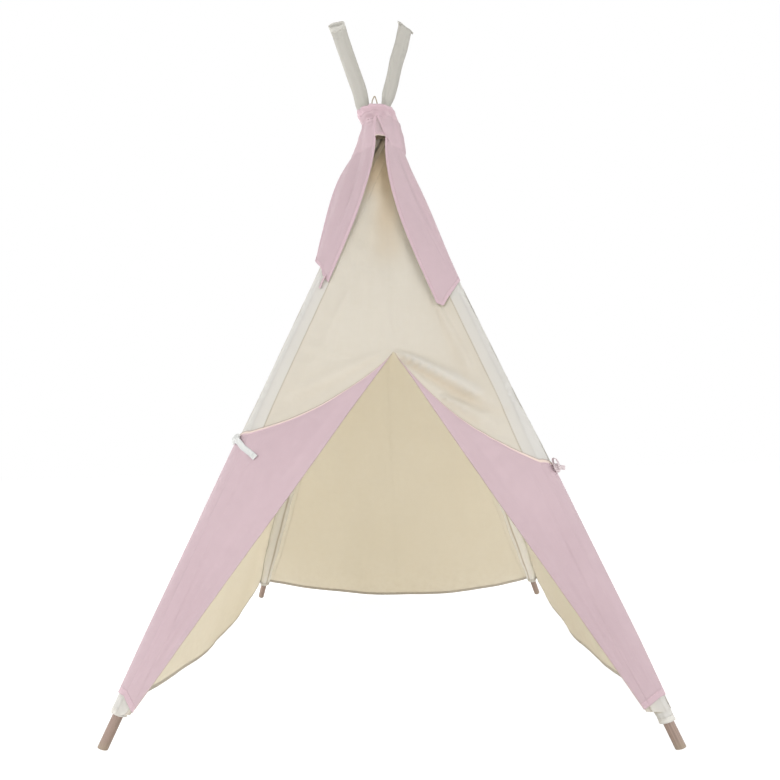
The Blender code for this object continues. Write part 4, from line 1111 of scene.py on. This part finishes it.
def addFlap(side):
    k, leg, other = flapSet, sideSet[side]["leg"], sideSet[side]["other"]
    body = "door_flap_" + side
    reach = np.concatenate([np.linspace(0, 1, k["columns"]), 1 + np.linspace(0, 1, k["wrapColumns"])[1:]])
    q, reach = spread(np.linspace(0, 1, k["rows"])[:, None], reach[None, :])
    points = flapPoint(side, reach, q)
    normals = gridNormals(points, np.broadcast_to(leg.out, points.shape))
    points, normals = (np.concatenate(pair, 1) for pair in zip(flapRoll(side, q[:, 0], points), (points, normals)))
    run, drop = runAlong(points, 1), runAlong(points, 0)
    piping = np.maximum(before(drop, k["hem"], 0.0015), 0.7 * before(run, 0.0022, 0.0012))
    edge = np.minimum(np.minimum(drop, drop[-1:] - drop), run[:, -1:] - run)
    # the lining's cream at the edges, and painted shadow: a thin dark line along the flap's upper edge
    allMarks = {"edge": edge, "piping": piping, "worn": 0.9 * before(drop, 0.0013, 0.0009)}
    allFlat = np.stack([run, drop], -1)
    split = k["rollColumns"] + k["columns"]
    anchor = points[len(points) // 2, split - 1]
    for end, part in (("", slice(0, split)), ("Wrap", slice(split - 1, None))):
        name, places, lean, flat = f"{side}DoorFlap{end}", *(g[:, part] for g in (points, normals, allFlat))
        marks = {label: values[:, part] for label, values in allMarks.items()}
        flap = gridSolid(name, places, lean, coverSet["cloth"], [pinkCanvas, facingCanvas], flat, marks=marks)
        dress(flap, body, "pink_canvas", body)
        if end:
            lines = [(np.arange(k["rows"]), gridPlaces(places, k["stitch"], True, 1))]
        else:
            across = np.arange(k["firstStitch"], split)
            lines = [(gridPlaces(places, k["stitch"], fromEnd, 0)[across], across) for fromEnd in (False, True)]
        stitches = dress(sew(name, places, lean, coverSet["cloth"], lines, pinkThread), body, "pink_canvas")
        if not end:
            for piece in (flap, stitches):
                gather(piece, leg, other, anchor)
        declareSheet(flap, places)


for side in sideSet:
    addFlap(side)
print("door flaps ready")


# Cap and tails

capSet = {
    "topRise": 0.070, "waistRise": 0.046, "shoulderRise": 0.006, "mouthDrop": 0.034,
    "topWide": 0.048, "topDeep": 0.041, "topX": -0.0127, "topY": -0.0285,
    "waistWide": 0.0470, "shoulderWide": 0.056, "mouthWide": 0.062, "mouthDeep": 0.058,
    "gather": 0.0016, "gathers": 11, "frontDip": 0.0065, "slitHalf": 26.0, "slitFlat": 13.0, "slitRise": 0.022,
    "fine": 0.0017, "nearWaist": 0.016, "wrap": 0.0009, "wrapMore": 0.0026, "wrapAt": 236, "wrapEvery": 0.013,
    "drape": 0.0016, "ruffle": 0.0007, "roll": 0.0013, "lip": 0.0006, "clear": 0.0004,
    "rows": 90, "columns": 240, "flatRadius": 0.055, "topStitch": 0.006, "mouthStitch": 0.007,
}


def capSection(rise):
    # the middle and the half widths of the cap at a height over the crossing
    k = capSet
    high = after(rise, k["waistRise"], k["topRise"] - k["waistRise"])
    low = smooth((k["waistRise"] - rise) / (k["waistRise"] - k["shoulderRise"]))
    mouth = np.clip((k["shoulderRise"] - rise) / (k["shoulderRise"] + k["mouthDrop"]), 0, None)

    def size(top, foot):
        body = mix(k["waistWide"], k["shoulderWide"], low)
        skirt = mix(k["shoulderWide"], foot, mouth)
        lower = np.where(rise > k["shoulderRise"], body, skirt)
        return np.where(rise > k["waistRise"], mix(k["waistWide"], top, high), lower)

    wide, deep = size(k["topWide"], k["mouthWide"]), size(k["topDeep"], k["mouthDeep"])
    return k["topX"] * high, k["topY"] * high, wide, deep


def capMouth(degrees):
    k = capSet
    off = np.abs((degrees - 270 + 180) % 360 - 180)
    return -k["mouthDrop"] + k["slitRise"] * before(off, k["slitFlat"], k["slitHalf"] - k["slitFlat"])


def capPoint(degrees, rise, detail=1.0, inset=0.0):
    k = capSet
    x0, y0, wide, deep = capSection(rise)
    turn = np.radians(degrees)
    gathered = 1 + k["gather"] / wide * np.cos(k["gathers"] * turn)
    dip = k["frontDip"] * smooth((0.25 - np.sin(turn)) / 1.1) * after(rise, 0.030, 0.040)
    nearWaist = bump(rise - k["waistRise"], k["nearWaist"])
    lower = smooth((0.030 - rise) / 0.05)
    fine = np.abs(np.sin(23 * turn / 2 + 1.2 * softNoise(turn * 3, rise * 30, 4))) * k["fine"] * nearWaist
    phase = (rise - k["waistRise"]) / k["wrapEvery"] + 0.45 * np.sin(turn + 0.6)
    wraps = np.maximum(0, np.sin(2 * math.pi * phase)) * nearWaist
    wraps = wraps * (k["wrap"] + k["wrapMore"] * bump((degrees % 360 - k["wrapAt"]) / 24, 1.0))
    drape = layeredNoise(turn * 2.4, rise * 26, 6) * k["drape"] * (0.4 + 0.6 * lower)
    ruffle = k["ruffle"] * np.sin(17 * turn + 2 * np.sin(3 * turn)) * after(rise, 0.058, 0.012)
    rolled = k["roll"] * bump(rise - k["topRise"] + 0.0040, 0.0030)
    out = detail * (fine + wraps + drape + ruffle + rolled + k["clear"]) - inset
    x = x0 + (wide * gathered + out) * np.cos(turn)
    y = y0 + (deep * gathered + out) * np.sin(turn)
    lip = k["lip"] * np.sin(13 * turn) * after(rise, 0.060, 0.010)
    return np.stack([x, y, crossingHeight + rise + lip - dip], -1)


def addCap():
    k, rows, cols = capSet, capSet["rows"], capSet["columns"]
    degrees, t = spread(np.linspace(0, 360, cols, endpoint=False)[None, :], np.linspace(0, 1, rows)[:, None])
    mouth = capMouth(degrees)
    rise = mix(mouth, k["topRise"], t)
    points = capPoint(degrees, rise)
    normals = gridNormals(points, points - np.array([0, 0, crossingHeight + 0.02]), closed=True)
    flat = closeRow(np.stack([np.radians(degrees) * k["flatRadius"], rise], -1), [2 * math.pi * k["flatRadius"], 0])
    inSlit = before(np.abs((degrees - 90) % 360 - 180), 12, 3)
    # painted shade on the front of the cap, in its fold above the slit
    marks = {"edge": np.minimum(rise - mouth, k["topRise"] - rise),
             "piping": inSlit * (1 - smooth((rise - mouth - 0.0016) / 0.0010)),
             "worn": 0.26 * bump((degrees - 267) / 8, 1.0) * smooth((0.052 - rise) / 0.012)}
    cap = gridSolid("apexCap", points, normals, coverSet["cloth"], [pinkCanvas, facingCanvas], flat, True, marks)
    dress(cap, "crown", "pink_canvas", "apex_cap")
    around = np.linspace(0, cols - 1.01, cols)
    ends = ((k["mouthStitch"], False), (k["topStitch"], True))
    lines = [(gridPlaces(points, away, fromEnd, 0), around) for away, fromEnd in ends]
    stitches = dress(sew("apexCap", points, normals, coverSet["cloth"], lines, pinkThread), "crown", "pink_canvas")
    declareSheet(cap, closeRow(points))


addCap()

tailSet = {
    "inner": 13.0, "outer": 96.0, "lapShare": 0.3, "band": 0.058, "underMouth": 0.0034, "overCap": 0.3,
    "crease": 0.0030, "soft": 0.0026, "facet": 0.0030, "leastSoft": -0.0008, "least": -0.0030,
    "overRows": 36, "rows": 120, "columns": 61, "firstStitch": 34, "bendEnd": 98, "stitch": 0.007, "hemStitch": 0.009,
    "facetAt": 0.22, "facetSlant": 0.25, "facetWide": 0.07, "slackFrom": 0.45, "bowTo": 0.55,
    # heights of the lower edge over the width, slack of the outer edge over the length, and the inner edge's bow
    "left": {"end": ((0, 0.930), (1, 1.002)), "lap": 0.024, "bow": 0.018, "seed": 41, "start": 9.0, "onCap": 0.0008,
             "slack": ((-0.3, 0.0), (-0.2, 0.004), (-0.1, 0.013), (0, 0.025), (0.1, 0.034), (0.2, 0.039),
                       (0.36, 0.040), (0.5, 0.037), (0.66, 0.032), (0.85, 0.025), (1, 0.018))},
    "right": {"end": ((0, 0.870), (0.06, 0.861), (0.15, 0.882), (0.3, 0.912), (1, 0.938)), "lap": 0.064,
              "bow": 0.026, "seed": 57, "start": -16.0, "onCap": 0.0032, "slack": ((-0.3, 0.0), (1, 0.0))},
}


def tailPoint(side, p, v):
    # p: 0 at the inner edge, 1 at the outer; v: below 0 on the cap, 0 at its mouth, 1 at the lower end
    k, own, leg, way = tailSet, tailSet[side], sideSet[side]["leg"], sideSet[side]["way"]
    p, v = spread(p, v)
    free = np.clip(v, 0, 1)
    climb = np.clip(-v / k["overCap"], 0, 1)  # 0 at the cap's mouth, 1 under its band
    degrees = 270 - way * mix(k["inner"], k["outer"], p)
    degreesOn = 270 - way * mix(mix(k["inner"], own["start"], climb), k["outer"], p)
    mouth = capMouth(degrees) - k["underMouth"]
    start = capPoint(degrees, mouth, detail=0.0)
    onto = smooth(climb / 0.12)
    lieOff = mix(0.0, own["onCap"], onto) - k["underMouth"] * after(climb, 0.8, 0.2)
    onCap = capPoint(degreesOn, mix(mouth, k["band"], climb), detail=onto, inset=-lieOff)
    s = leg.atHeight(np.interp(p, *np.array(own["end"]).T))
    wrap = np.clip((p - k["lapShare"]) / (1 - k["lapShare"]), 0, None)
    end = leg.around(s, mix(*wrapAngles(side, s), wrap), offSleeve)
    inwards = unit(front.b.point(gatherSet["at"]) - front.a.point(gatherSet["at"])) * way
    end = end + inwards * (own["lap"] * np.clip(1 - p / k["lapShare"], 0, None))[..., None]
    crease = np.sin(math.pi * free) * np.sin(4 * math.pi * p) * k["crease"]
    lengthwise = layeredNoise(p * 5 + own["seed"], v * 2.2, own["seed"]) * k["soft"]
    lengthwise = lengthwise * np.sin(math.pi * np.clip(v, 0.02, 1)) ** 0.5
    facet = k["facet"] * bump(p - k["facetAt"] - k["facetSlant"] * v, k["facetWide"])
    facet = facet * smooth(v / 0.2) * before(v, 0.55, 0.3)
    out = np.maximum(crease + np.maximum(lengthwise, k["leastSoft"]) + facet, k["least"])
    place = mix(start, end, free[..., None]) + leg.out * out[..., None]
    near = sum(np.interp(v + step, *np.array(own["slack"]).T) for step in (-0.06, -0.03, 0, 0.03, 0.06)) / 5
    slack = after(p, k["slackFrom"], 1 - k["slackFrom"]) * near
    bow = np.clip(1 - p / k["bowTo"], 0, 1) ** 1.2 * np.sin(math.pi * free ** 0.8) * own["bow"]
    return np.where((v < 0)[..., None], onCap, place + inwards * bow[..., None]) - inwards * slack[..., None]


def addTail(side):
    k, leg, name = tailSet, sideSet[side]["leg"], side + "Tail"
    v = np.concatenate([np.linspace(-k["overCap"], 0, k["overRows"] + 1)[:-1], np.linspace(0, 1, k["rows"])])
    p, v = spread(np.linspace(0, 1, k["columns"])[None, :], v[:, None])
    points = tailPoint(side, p, v)
    normals = gridNormals(points, np.broadcast_to(leg.out, points.shape))
    run, drop = runAlong(points, 1), runAlong(points, 0)
    marks = {"edge": np.minimum(np.minimum(run, run[:, -1:] - run), drop[-1:] - drop)}
    flat = np.stack([run, drop], -1)
    tail = gridSolid(name, points, normals, coverSet["cloth"], [pinkCanvas, facingCanvas], flat, marks=marks)
    rows, cols = np.arange(k["firstStitch"], len(points)), np.arange(k["columns"])[3:-3]
    lines = [(rows, gridPlaces(points, k["stitch"], fromEnd, 1)[rows]) for fromEnd in (False, True)]
    lines.append((gridPlaces(points, k["hemStitch"], True, 0)[cols], cols))
    stitches = sew(name, points, normals, coverSet["cloth"], lines, pinkThread)
    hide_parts(f"cap_tail_{side}")
    start, end = (tuple(points[row].mean(axis=0)) for row in (k["overRows"], k["bendEnd"]))
    for piece in (tail, stitches):
        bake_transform(piece)
        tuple(start)
        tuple(end)
    declareSheet(tail, points)


for side in sideSet:
    addTail(side)
print("cap and tails ready")


# Ties and lashing

tieSet = {
    "width": 0.0125, "thickness": 0.0009, "lift": 0.0018, "knot": (0.0105, 0.0125, 0.0058), "step": 0.004,
    "leftKnot": (1.50, 0.035), "leftEnd": (0.84, 0.150), "rightKnot": (1.62, 0.040), "rightKnotShare": 0.8,
    "loopHeight": 0.021, "loopWidth": 0.010, "loopOpen": 0.12, "bowTape": 0.0103,
    "endLength": 0.018, "endDrop": 0.0045,
    "tailTieReach": 0.18, "tailTieFrom": 0.985, "tailTieLength": 0.038, "tailTieWidth": 0.010,
}
knotGrid = {"rows": 40, "columns": 72, "size": 0.80, "firstTurn": 0.16, "secondTurn": 0.12, "crease": 0.07}
leftTie = (tapeCloth, "leg_front_left", "tie_ribbon")
rightTie = (blushTape, "leg_front_right", "tie_ribbon")
tailTie = (pinkCanvas, "leg_front_left", "pink_canvas")


def flapFrame(side, r, q):
    # a place on a flap with the ways inwards, down and out of it
    step = tieSet["step"]
    inwards = unit(flapPoint(side, r - step, q) - flapPoint(side, r + step, q))
    down = unit(flapPoint(side, r, q + step) - flapPoint(side, r, q - step))
    outward = facing(unit(np.cross(inwards, down)) * sideSet[side]["way"], np.array([0, -1.0, 0.2]), -1)
    return flapPoint(side, r, q), down, outward


def tape(name, centre, across, width, look, cup=0.0):
    # a flat tape along a line: across is its width's way at each point, cup bends it over its width
    finish, body, slot = look
    along = unit(np.gradient(centre, axis=0))
    across = np.broadcast_to(across, centre.shape)
    across = unit(across - np.sum(across * along, axis=1, keepdims=True) * along)
    outward = unit(np.cross(along, across))
    w = np.linspace(-0.5, 0.5, 13)
    bent = outward[:, None] * cup * (0.25 - w * w)[None, :, None] * width
    points = centre[:, None] + across[:, None] * w[None, :, None] * width + bent
    normals = gridNormals(points, np.broadcast_to(outward[:, None], points.shape))
    flat = np.stack(np.broadcast_arrays(w[None, :] * width, runAlong(centre, 0)[:, None]), -1)
    edge = np.broadcast_to((0.5 - np.abs(w))[None, :] * width, points.shape[:2])
    marks = {"edge": edge, "piping": 0.6 * bump(edge - 0.0011, 0.0005)}
    piece = gridSolid(name, points, normals, tieSet["thickness"], [finish], flat, marks=marks)
    return dress(piece, body, slot), points


def knotBall(name, centre, across, up, outward, size, look):
    # a small knot: a flattened ball with the tape's turns pulled into it
    k, (finish, body, slot) = knotGrid, look
    tilt = np.linspace(0.0, math.pi, k["rows"])[:, None]
    turn = np.linspace(0, 2 * math.pi, k["columns"], endpoint=False)[None, :]
    x, y, z = np.sin(tilt) * np.cos(turn), np.cos(tilt) + 0 * turn, np.sin(tilt) * np.sin(turn)
    bands = np.abs(np.sin(2.4 * (x * 0.8 + y * 1.1) + 0.4)) ** 0.5 * k["firstTurn"]
    bands = bands + np.abs(np.sin(3.1 * (x - 0.6 * y) - 0.8)) ** 0.6 * k["secondTurn"]
    r = (k["size"] + bands + softNoise(x * 4 + 7, y * 4 + z * 3, 3) * k["crease"])[..., None]
    ball = centre + r * sum(a[..., None] * way * half for a, way, half in zip((x, y, z), (across, up, outward), size))
    index = np.arange(k["rows"] * k["columns"]).reshape(k["rows"], k["columns"])
    nextOne = np.roll(index, -1, axis=1)
    quads = np.stack([index[1:-2], nextOne[1:-2], nextOne[2:-1], index[2:-1]], -1).reshape(-1, 4)
    ends = [(index[0, 0], b, a) for a, b in zip(index[1], nextOne[1])]
    ends += [(index[-1, 0], a, b) for a, b in zip(index[-2], nextOne[-2])]
    piece, mesh = newPiece(name, ball, quads.tolist() + ends, [finish])
    turnOut(mesh)
    corners = np.array([mesh.vertices[loop.vertex_index].co for loop in mesh.loops])
    setFlat(mesh, np.stack([(corners - centre) @ across, (corners - centre) @ up], 1))
    setMark(mesh, "edge", np.ones(len(mesh.vertices)))
    return dress(piece, body, slot)


def addKnot(name, side, place, size, look):
    centre, down, outward = flapFrame(side, *place)
    across = unit(np.cross(down, outward))
    centre = centre + outward * (coverSet["cloth"] / 2 + 0.0004 + size[2])
    return knotBall(name, centre, across, -down, outward, size, look), centre, across, -down, outward


def addLeftTie():
    # a ribbon from the knot behind the pole, round it and over the flap
    k = tieSet
    knot = addKnot("leftTieKnot", "left", k["leftKnot"], k["knot"], leftTie)[0]
    (r0, q0), (r1, q1) = k["leftKnot"], k["leftEnd"]
    around, flatRun = (np.linalg.norm(flapPoint("left", r, q) - flapPoint("left", 1.0, q))
                       for r, q in ((r0, q0), (r1, q1)))
    share = around / (around + flatRun)  # of the tape, up to where the flap leaves the pole
    t = np.linspace(0, 1, 40)
    r = np.where(t < share, mix(r0, 1.0, t / share), mix(1.0, r1, (t - share) / (1 - share)))
    place, _, normal = flapFrame("left", r, mix(q0, q1, t))
    for _ in range(6):  # the tape is stiffer than the corner that it passes
        place[1:-1] = (place[:-2] + place[1:-1] * 2 + place[2:]) / 4
        normal[1:-1] = unit(normal[:-2] + normal[1:-1] * 2 + normal[2:])
    lift = coverSet["cloth"] / 2 + k["lift"] + k["knot"][2] * (1 - smooth(t / 0.35))
    lift = lift + 0.0020 * after(t, 0.75, 0.25) + 0.0008 * np.sin(9 * t)
    line = place + normal * lift[:, None]
    way = unit(np.gradient(line, axis=0))
    strip, points = tape("leftTieTape", line, np.cross(normal, way), k["width"], leftTie, 0.10)
    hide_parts("tie_ribbon_left")
    declareSheet(strip, points)


def addRightTie():
    # a small bow: a loop that stands up and two short ends
    k, share = tieSet, tieSet["rightKnotShare"]
    size = (k["knot"][0] * share, k["knot"][1] * share, k["knot"][2])
    knot, centre, across, up, outward = addKnot("rightTieKnot", "right", k["rightKnot"], size, rightTie)
    turn = math.pi * (k["loopOpen"] + (2 - 2 * k["loopOpen"]) * np.linspace(0, 1, 48))[:, None]
    reach, swell = k["loopHeight"] / 2 * (1 - np.cos(turn)), k["loopWidth"] / 2 * np.sin(turn)
    line = centre + up * reach + outward * (swell + k["loopWidth"] * 0.25) + across * (0.0012 * np.sin(turn))
    loop, loopPoints = tape("rightTieLoop", line, across, k["bowTape"], rightTie, 0.08)
    t = np.linspace(0, 1, 20)[:, None]
    for name, way in (("rightTieEndA", 1), ("rightTieEndB", -1)):
        aim = unit(across * 0.85 * way + outward * 0.53)
        run = centre + aim * t * k["endLength"] - up * (t ** 2 * k["endDrop"]) + outward * 0.0004
        end, points = tape(name, run, up, k["bowTape"], rightTie, 0.06)
        declareSheet(end, points)
    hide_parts("tie_bow_right")
    declareSheet(loop, loopPoints)


def addTailTie():
    # a short strap at the lower edge of the left tail
    k, leg = tieSet, front.a
    start = tailPoint("left", k["tailTieReach"], k["tailTieFrom"])
    t = np.linspace(0, 1, 24)[:, None]
    across = np.cross(leg.along, leg.out)
    line = start - leg.along * (t * k["tailTieLength"]) + leg.out * (0.0008 + 0.0016 * np.sin(math.pi * t))
    line = line + across * (0.0012 * np.sin(2.5 * t))
    strip, points = tape("leftTailTie", line, across, k["tailTieWidth"], tailTie, 0.12)
    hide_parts("tail_tie_left")
    declareSheet(strip, points)


lashingSet = {
    "ring": 0.0310, "cord": 0.0016, "turns": 4, "strands": 3, "lay": 0.011, "sides": 14, "ringPoints": 420,
    "loopPoints": 120, "firstTurn": 0.8, "thin": 0.80, "strandSwell": 0.22,
    # the loop's places, as heights over the crossing
    "loop": ((0.010, 0.012, 0.030), (-0.004, -0.020, 0.060), (-0.008, -0.028, 0.094), (-0.014, -0.031, 0.112),
             (-0.022, -0.031, 0.096), (-0.022, -0.028, 0.066)),
}


def addLashing():
    # a laid cord round the crossing, with one loop of it that comes up between the two tips
    k, count = lashingSet, lashingSet["ringPoints"]
    share = np.linspace(0, 1, count)
    turn = 2 * math.pi * k["turns"] * share + k["firstTurn"]
    height = mix(-1.0, 1.0, share) * k["cord"] * (k["turns"] - 0.9)
    path = np.stack([k["ring"] * np.cos(turn), k["ring"] * np.sin(turn), crossingHeight + height], 1)
    knots = np.concatenate([path[-1:], np.array(k["loop"]) + [0, 0, crossingHeight]])
    steps = np.linspace(0, len(knots) - 1, k["loopPoints"])[1:]
    loop = np.stack([np.interp(steps, np.arange(len(knots)), axis) for axis in knots.T], 1)
    path = np.concatenate([path, loop])
    for _ in range(40):
        path[count + 1:-1] = (path[count:-2] + path[count + 1:-1] * 2 + path[count + 2:]) / 4
    along = unit(np.gradient(path, axis=0))
    side = unit(np.cross(along, np.where(np.abs(along[:, 2:]) > 0.9, [1.0, 0, 0], [0, 0, 1.0])))
    for i in range(1, len(side)):
        side[i] = unit(side[i - 1] - (side[i - 1] @ along[i]) * along[i])
    around = np.linspace(0, 2 * math.pi, k["sides"], endpoint=False)[None, :, None]
    lay = around - 2 * math.pi * runAlong(path, 0)[:, None, None] / k["lay"]
    radius = k["cord"] * (k["thin"] + k["strandSwell"] * np.abs(np.cos(k["strands"] / 2 * lay)))
    across = np.cos(around) * side[:, None] + np.sin(around) * np.cross(along, side)[:, None]
    last = (len(path) - 1) * k["sides"]
    faces = tubeFaces(len(path), k["sides"])
    faces += [tuple(range(k["sides"]))[::-1], tuple(last + i for i in range(k["sides"]))]
    piece, mesh = newPiece("poleLashing", path[:, None] + radius * across, faces, [cordCotton])
    turnOut(mesh)
    dress(piece, "crown", "lashing_cord", "pole_lashing")


addLeftTie()
addRightTie()
addTailTie()
addLashing()
print("ties and lashing ready")


# Floor, light and camera

stageSet = {"floorSize": 30, "floorDrop": 0.0006, "dull": 0.82, "shown": 0.30, "glow": 0.865,
            "sky": (1.0, 0.995, 0.985, 1), "skyStrength": 0.50}


def seenRays(tree):
    # 1 for what the camera sees by itself, in a mirror or through glass
    rays = put(tree, "ShaderNodeLightPath").outputs
    mirrored = maths(tree, "MAXIMUM", rays["Is Glossy Ray"], rays["Is Transmission Ray"])
    return maths(tree, "MAXIMUM", rays["Is Camera Ray"], mirrored)


def addFloor():
    k = stageSet
    bpy.ops.mesh.primitive_plane_add(size=k["floorSize"], location=(0, 0, -k["floorDrop"]))
    floor = bpy.context.active_object
    floor.name = "floor"
    mat = bpy.data.materials.new("paleFloor")
    mat.use_nodes = True
    tree = mat.node_tree
    tree.nodes.remove(tree.nodes["Principled BSDF"])
    dull, shown = (put(tree, "ShaderNodeBsdfDiffuse", {"Color": (*[k[tone]] * 3, 1)}) for tone in ("dull", "shown"))
    glow = put(tree, "ShaderNodeEmission", {"Color": (1, 1, 1, 1), "Strength": k["glow"]})
    pale = put(tree, "ShaderNodeAddShader", {0: shown.outputs[0], 1: glow.outputs[0]})
    both = put(tree, "ShaderNodeMixShader", {0: seenRays(tree), 1: dull.outputs[0], 2: pale.outputs[0]})
    plug(tree, tree.nodes["Material Output"], {"Surface": both.outputs[0]})
    floor.data.materials.append(mat)


def addWorld():
    world = bpy.data.worlds.new("studio")
    scene.world = world
    world.use_nodes = True
    tree = world.node_tree
    soft = plug(tree, tree.nodes["Background"], {"Color": stageSet["sky"], "Strength": stageSet["skyStrength"]})
    white = put(tree, "ShaderNodeBackground", {"Color": (1, 1, 1, 1), "Strength": 1.0})
    both = put(tree, "ShaderNodeMixShader", {0: seenRays(tree), 1: soft.outputs[0], 2: white.outputs[0]})
    plug(tree, tree.nodes["World Output"], {"Surface": both.outputs[0]})


def addLamp(name, place, target, size, watts):
    lamp = bpy.data.lights.new(name, "AREA")
    lamp.shape, lamp.size, lamp.energy = "SQUARE", size, watts
    obj = bpy.data.objects.new(name, lamp)
    obj.location = place
    obj.rotation_euler = (Vector(target) - Vector(place)).to_track_quat("-Z", "Y").to_euler()
    scene.collection.objects.link(obj)


addFloor()
addWorld()
for lamp in (
    # name, place, target, size in metres, watts
    ("windowLight", (-1.5, -3.1, 1.15), (0, 0, 0.6), 2.0, 54),
    ("fillLight", (2.6, -2.6, 1.1), (0, 0, 0.5), 2.4, 52),
    ("backLight", (-1.3, 2.7, 1.9), (0, 0.3, 0.5), 2.6, 92),
    ("leftLight", (-2.9, 0.5, 0.8), (0, 0.1, 0.5), 1.8, 40),
    ("rightLight", (2.9, 0.6, 0.8), (0, 0.1, 0.5), 1.8, 24),
):
    addLamp(*lamp)

# the camera that was fitted to the photo; focal length, frame and centre are in the photo's pixels
cameraSet = {"place": (0.054, -1.437, 0.521), "focal": 527.0, "yaw": -2.37, "roll": -1.38, "centreDrop": 65.0,
             "centreLeft": 3.0, "frame": 780.0, "sensor": 36.0}


def addCamera():
    k = cameraSet
    cam = bpy.data.cameras.new("camera")
    cam.sensor_width, cam.lens = k["sensor"], k["sensor"] * k["focal"] / k["frame"]
    cam.shift_x, cam.shift_y = k["centreLeft"] / k["frame"], k["centreDrop"] / k["frame"]
    obj = bpy.data.objects.new("camera", cam)
    yaw, roll = math.radians(k["yaw"]), math.radians(k["roll"])
    ahead = Vector((math.sin(yaw), math.cos(yaw), 0))
    across = Vector((math.cos(yaw), -math.sin(yaw), 0))
    upright = Vector((0, 0, 1))
    sideways = across * math.cos(roll) + upright * math.sin(roll)
    up = upright * math.cos(roll) - across * math.sin(roll)
    turn = Matrix((sideways, up, -ahead)).transposed().to_4x4()
    obj.matrix_world = Matrix.Translation(Vector(k["place"])) @ turn
    scene.collection.objects.link(obj)
    scene.camera = obj


addCamera()
scene.view_settings.view_transform = "Standard"
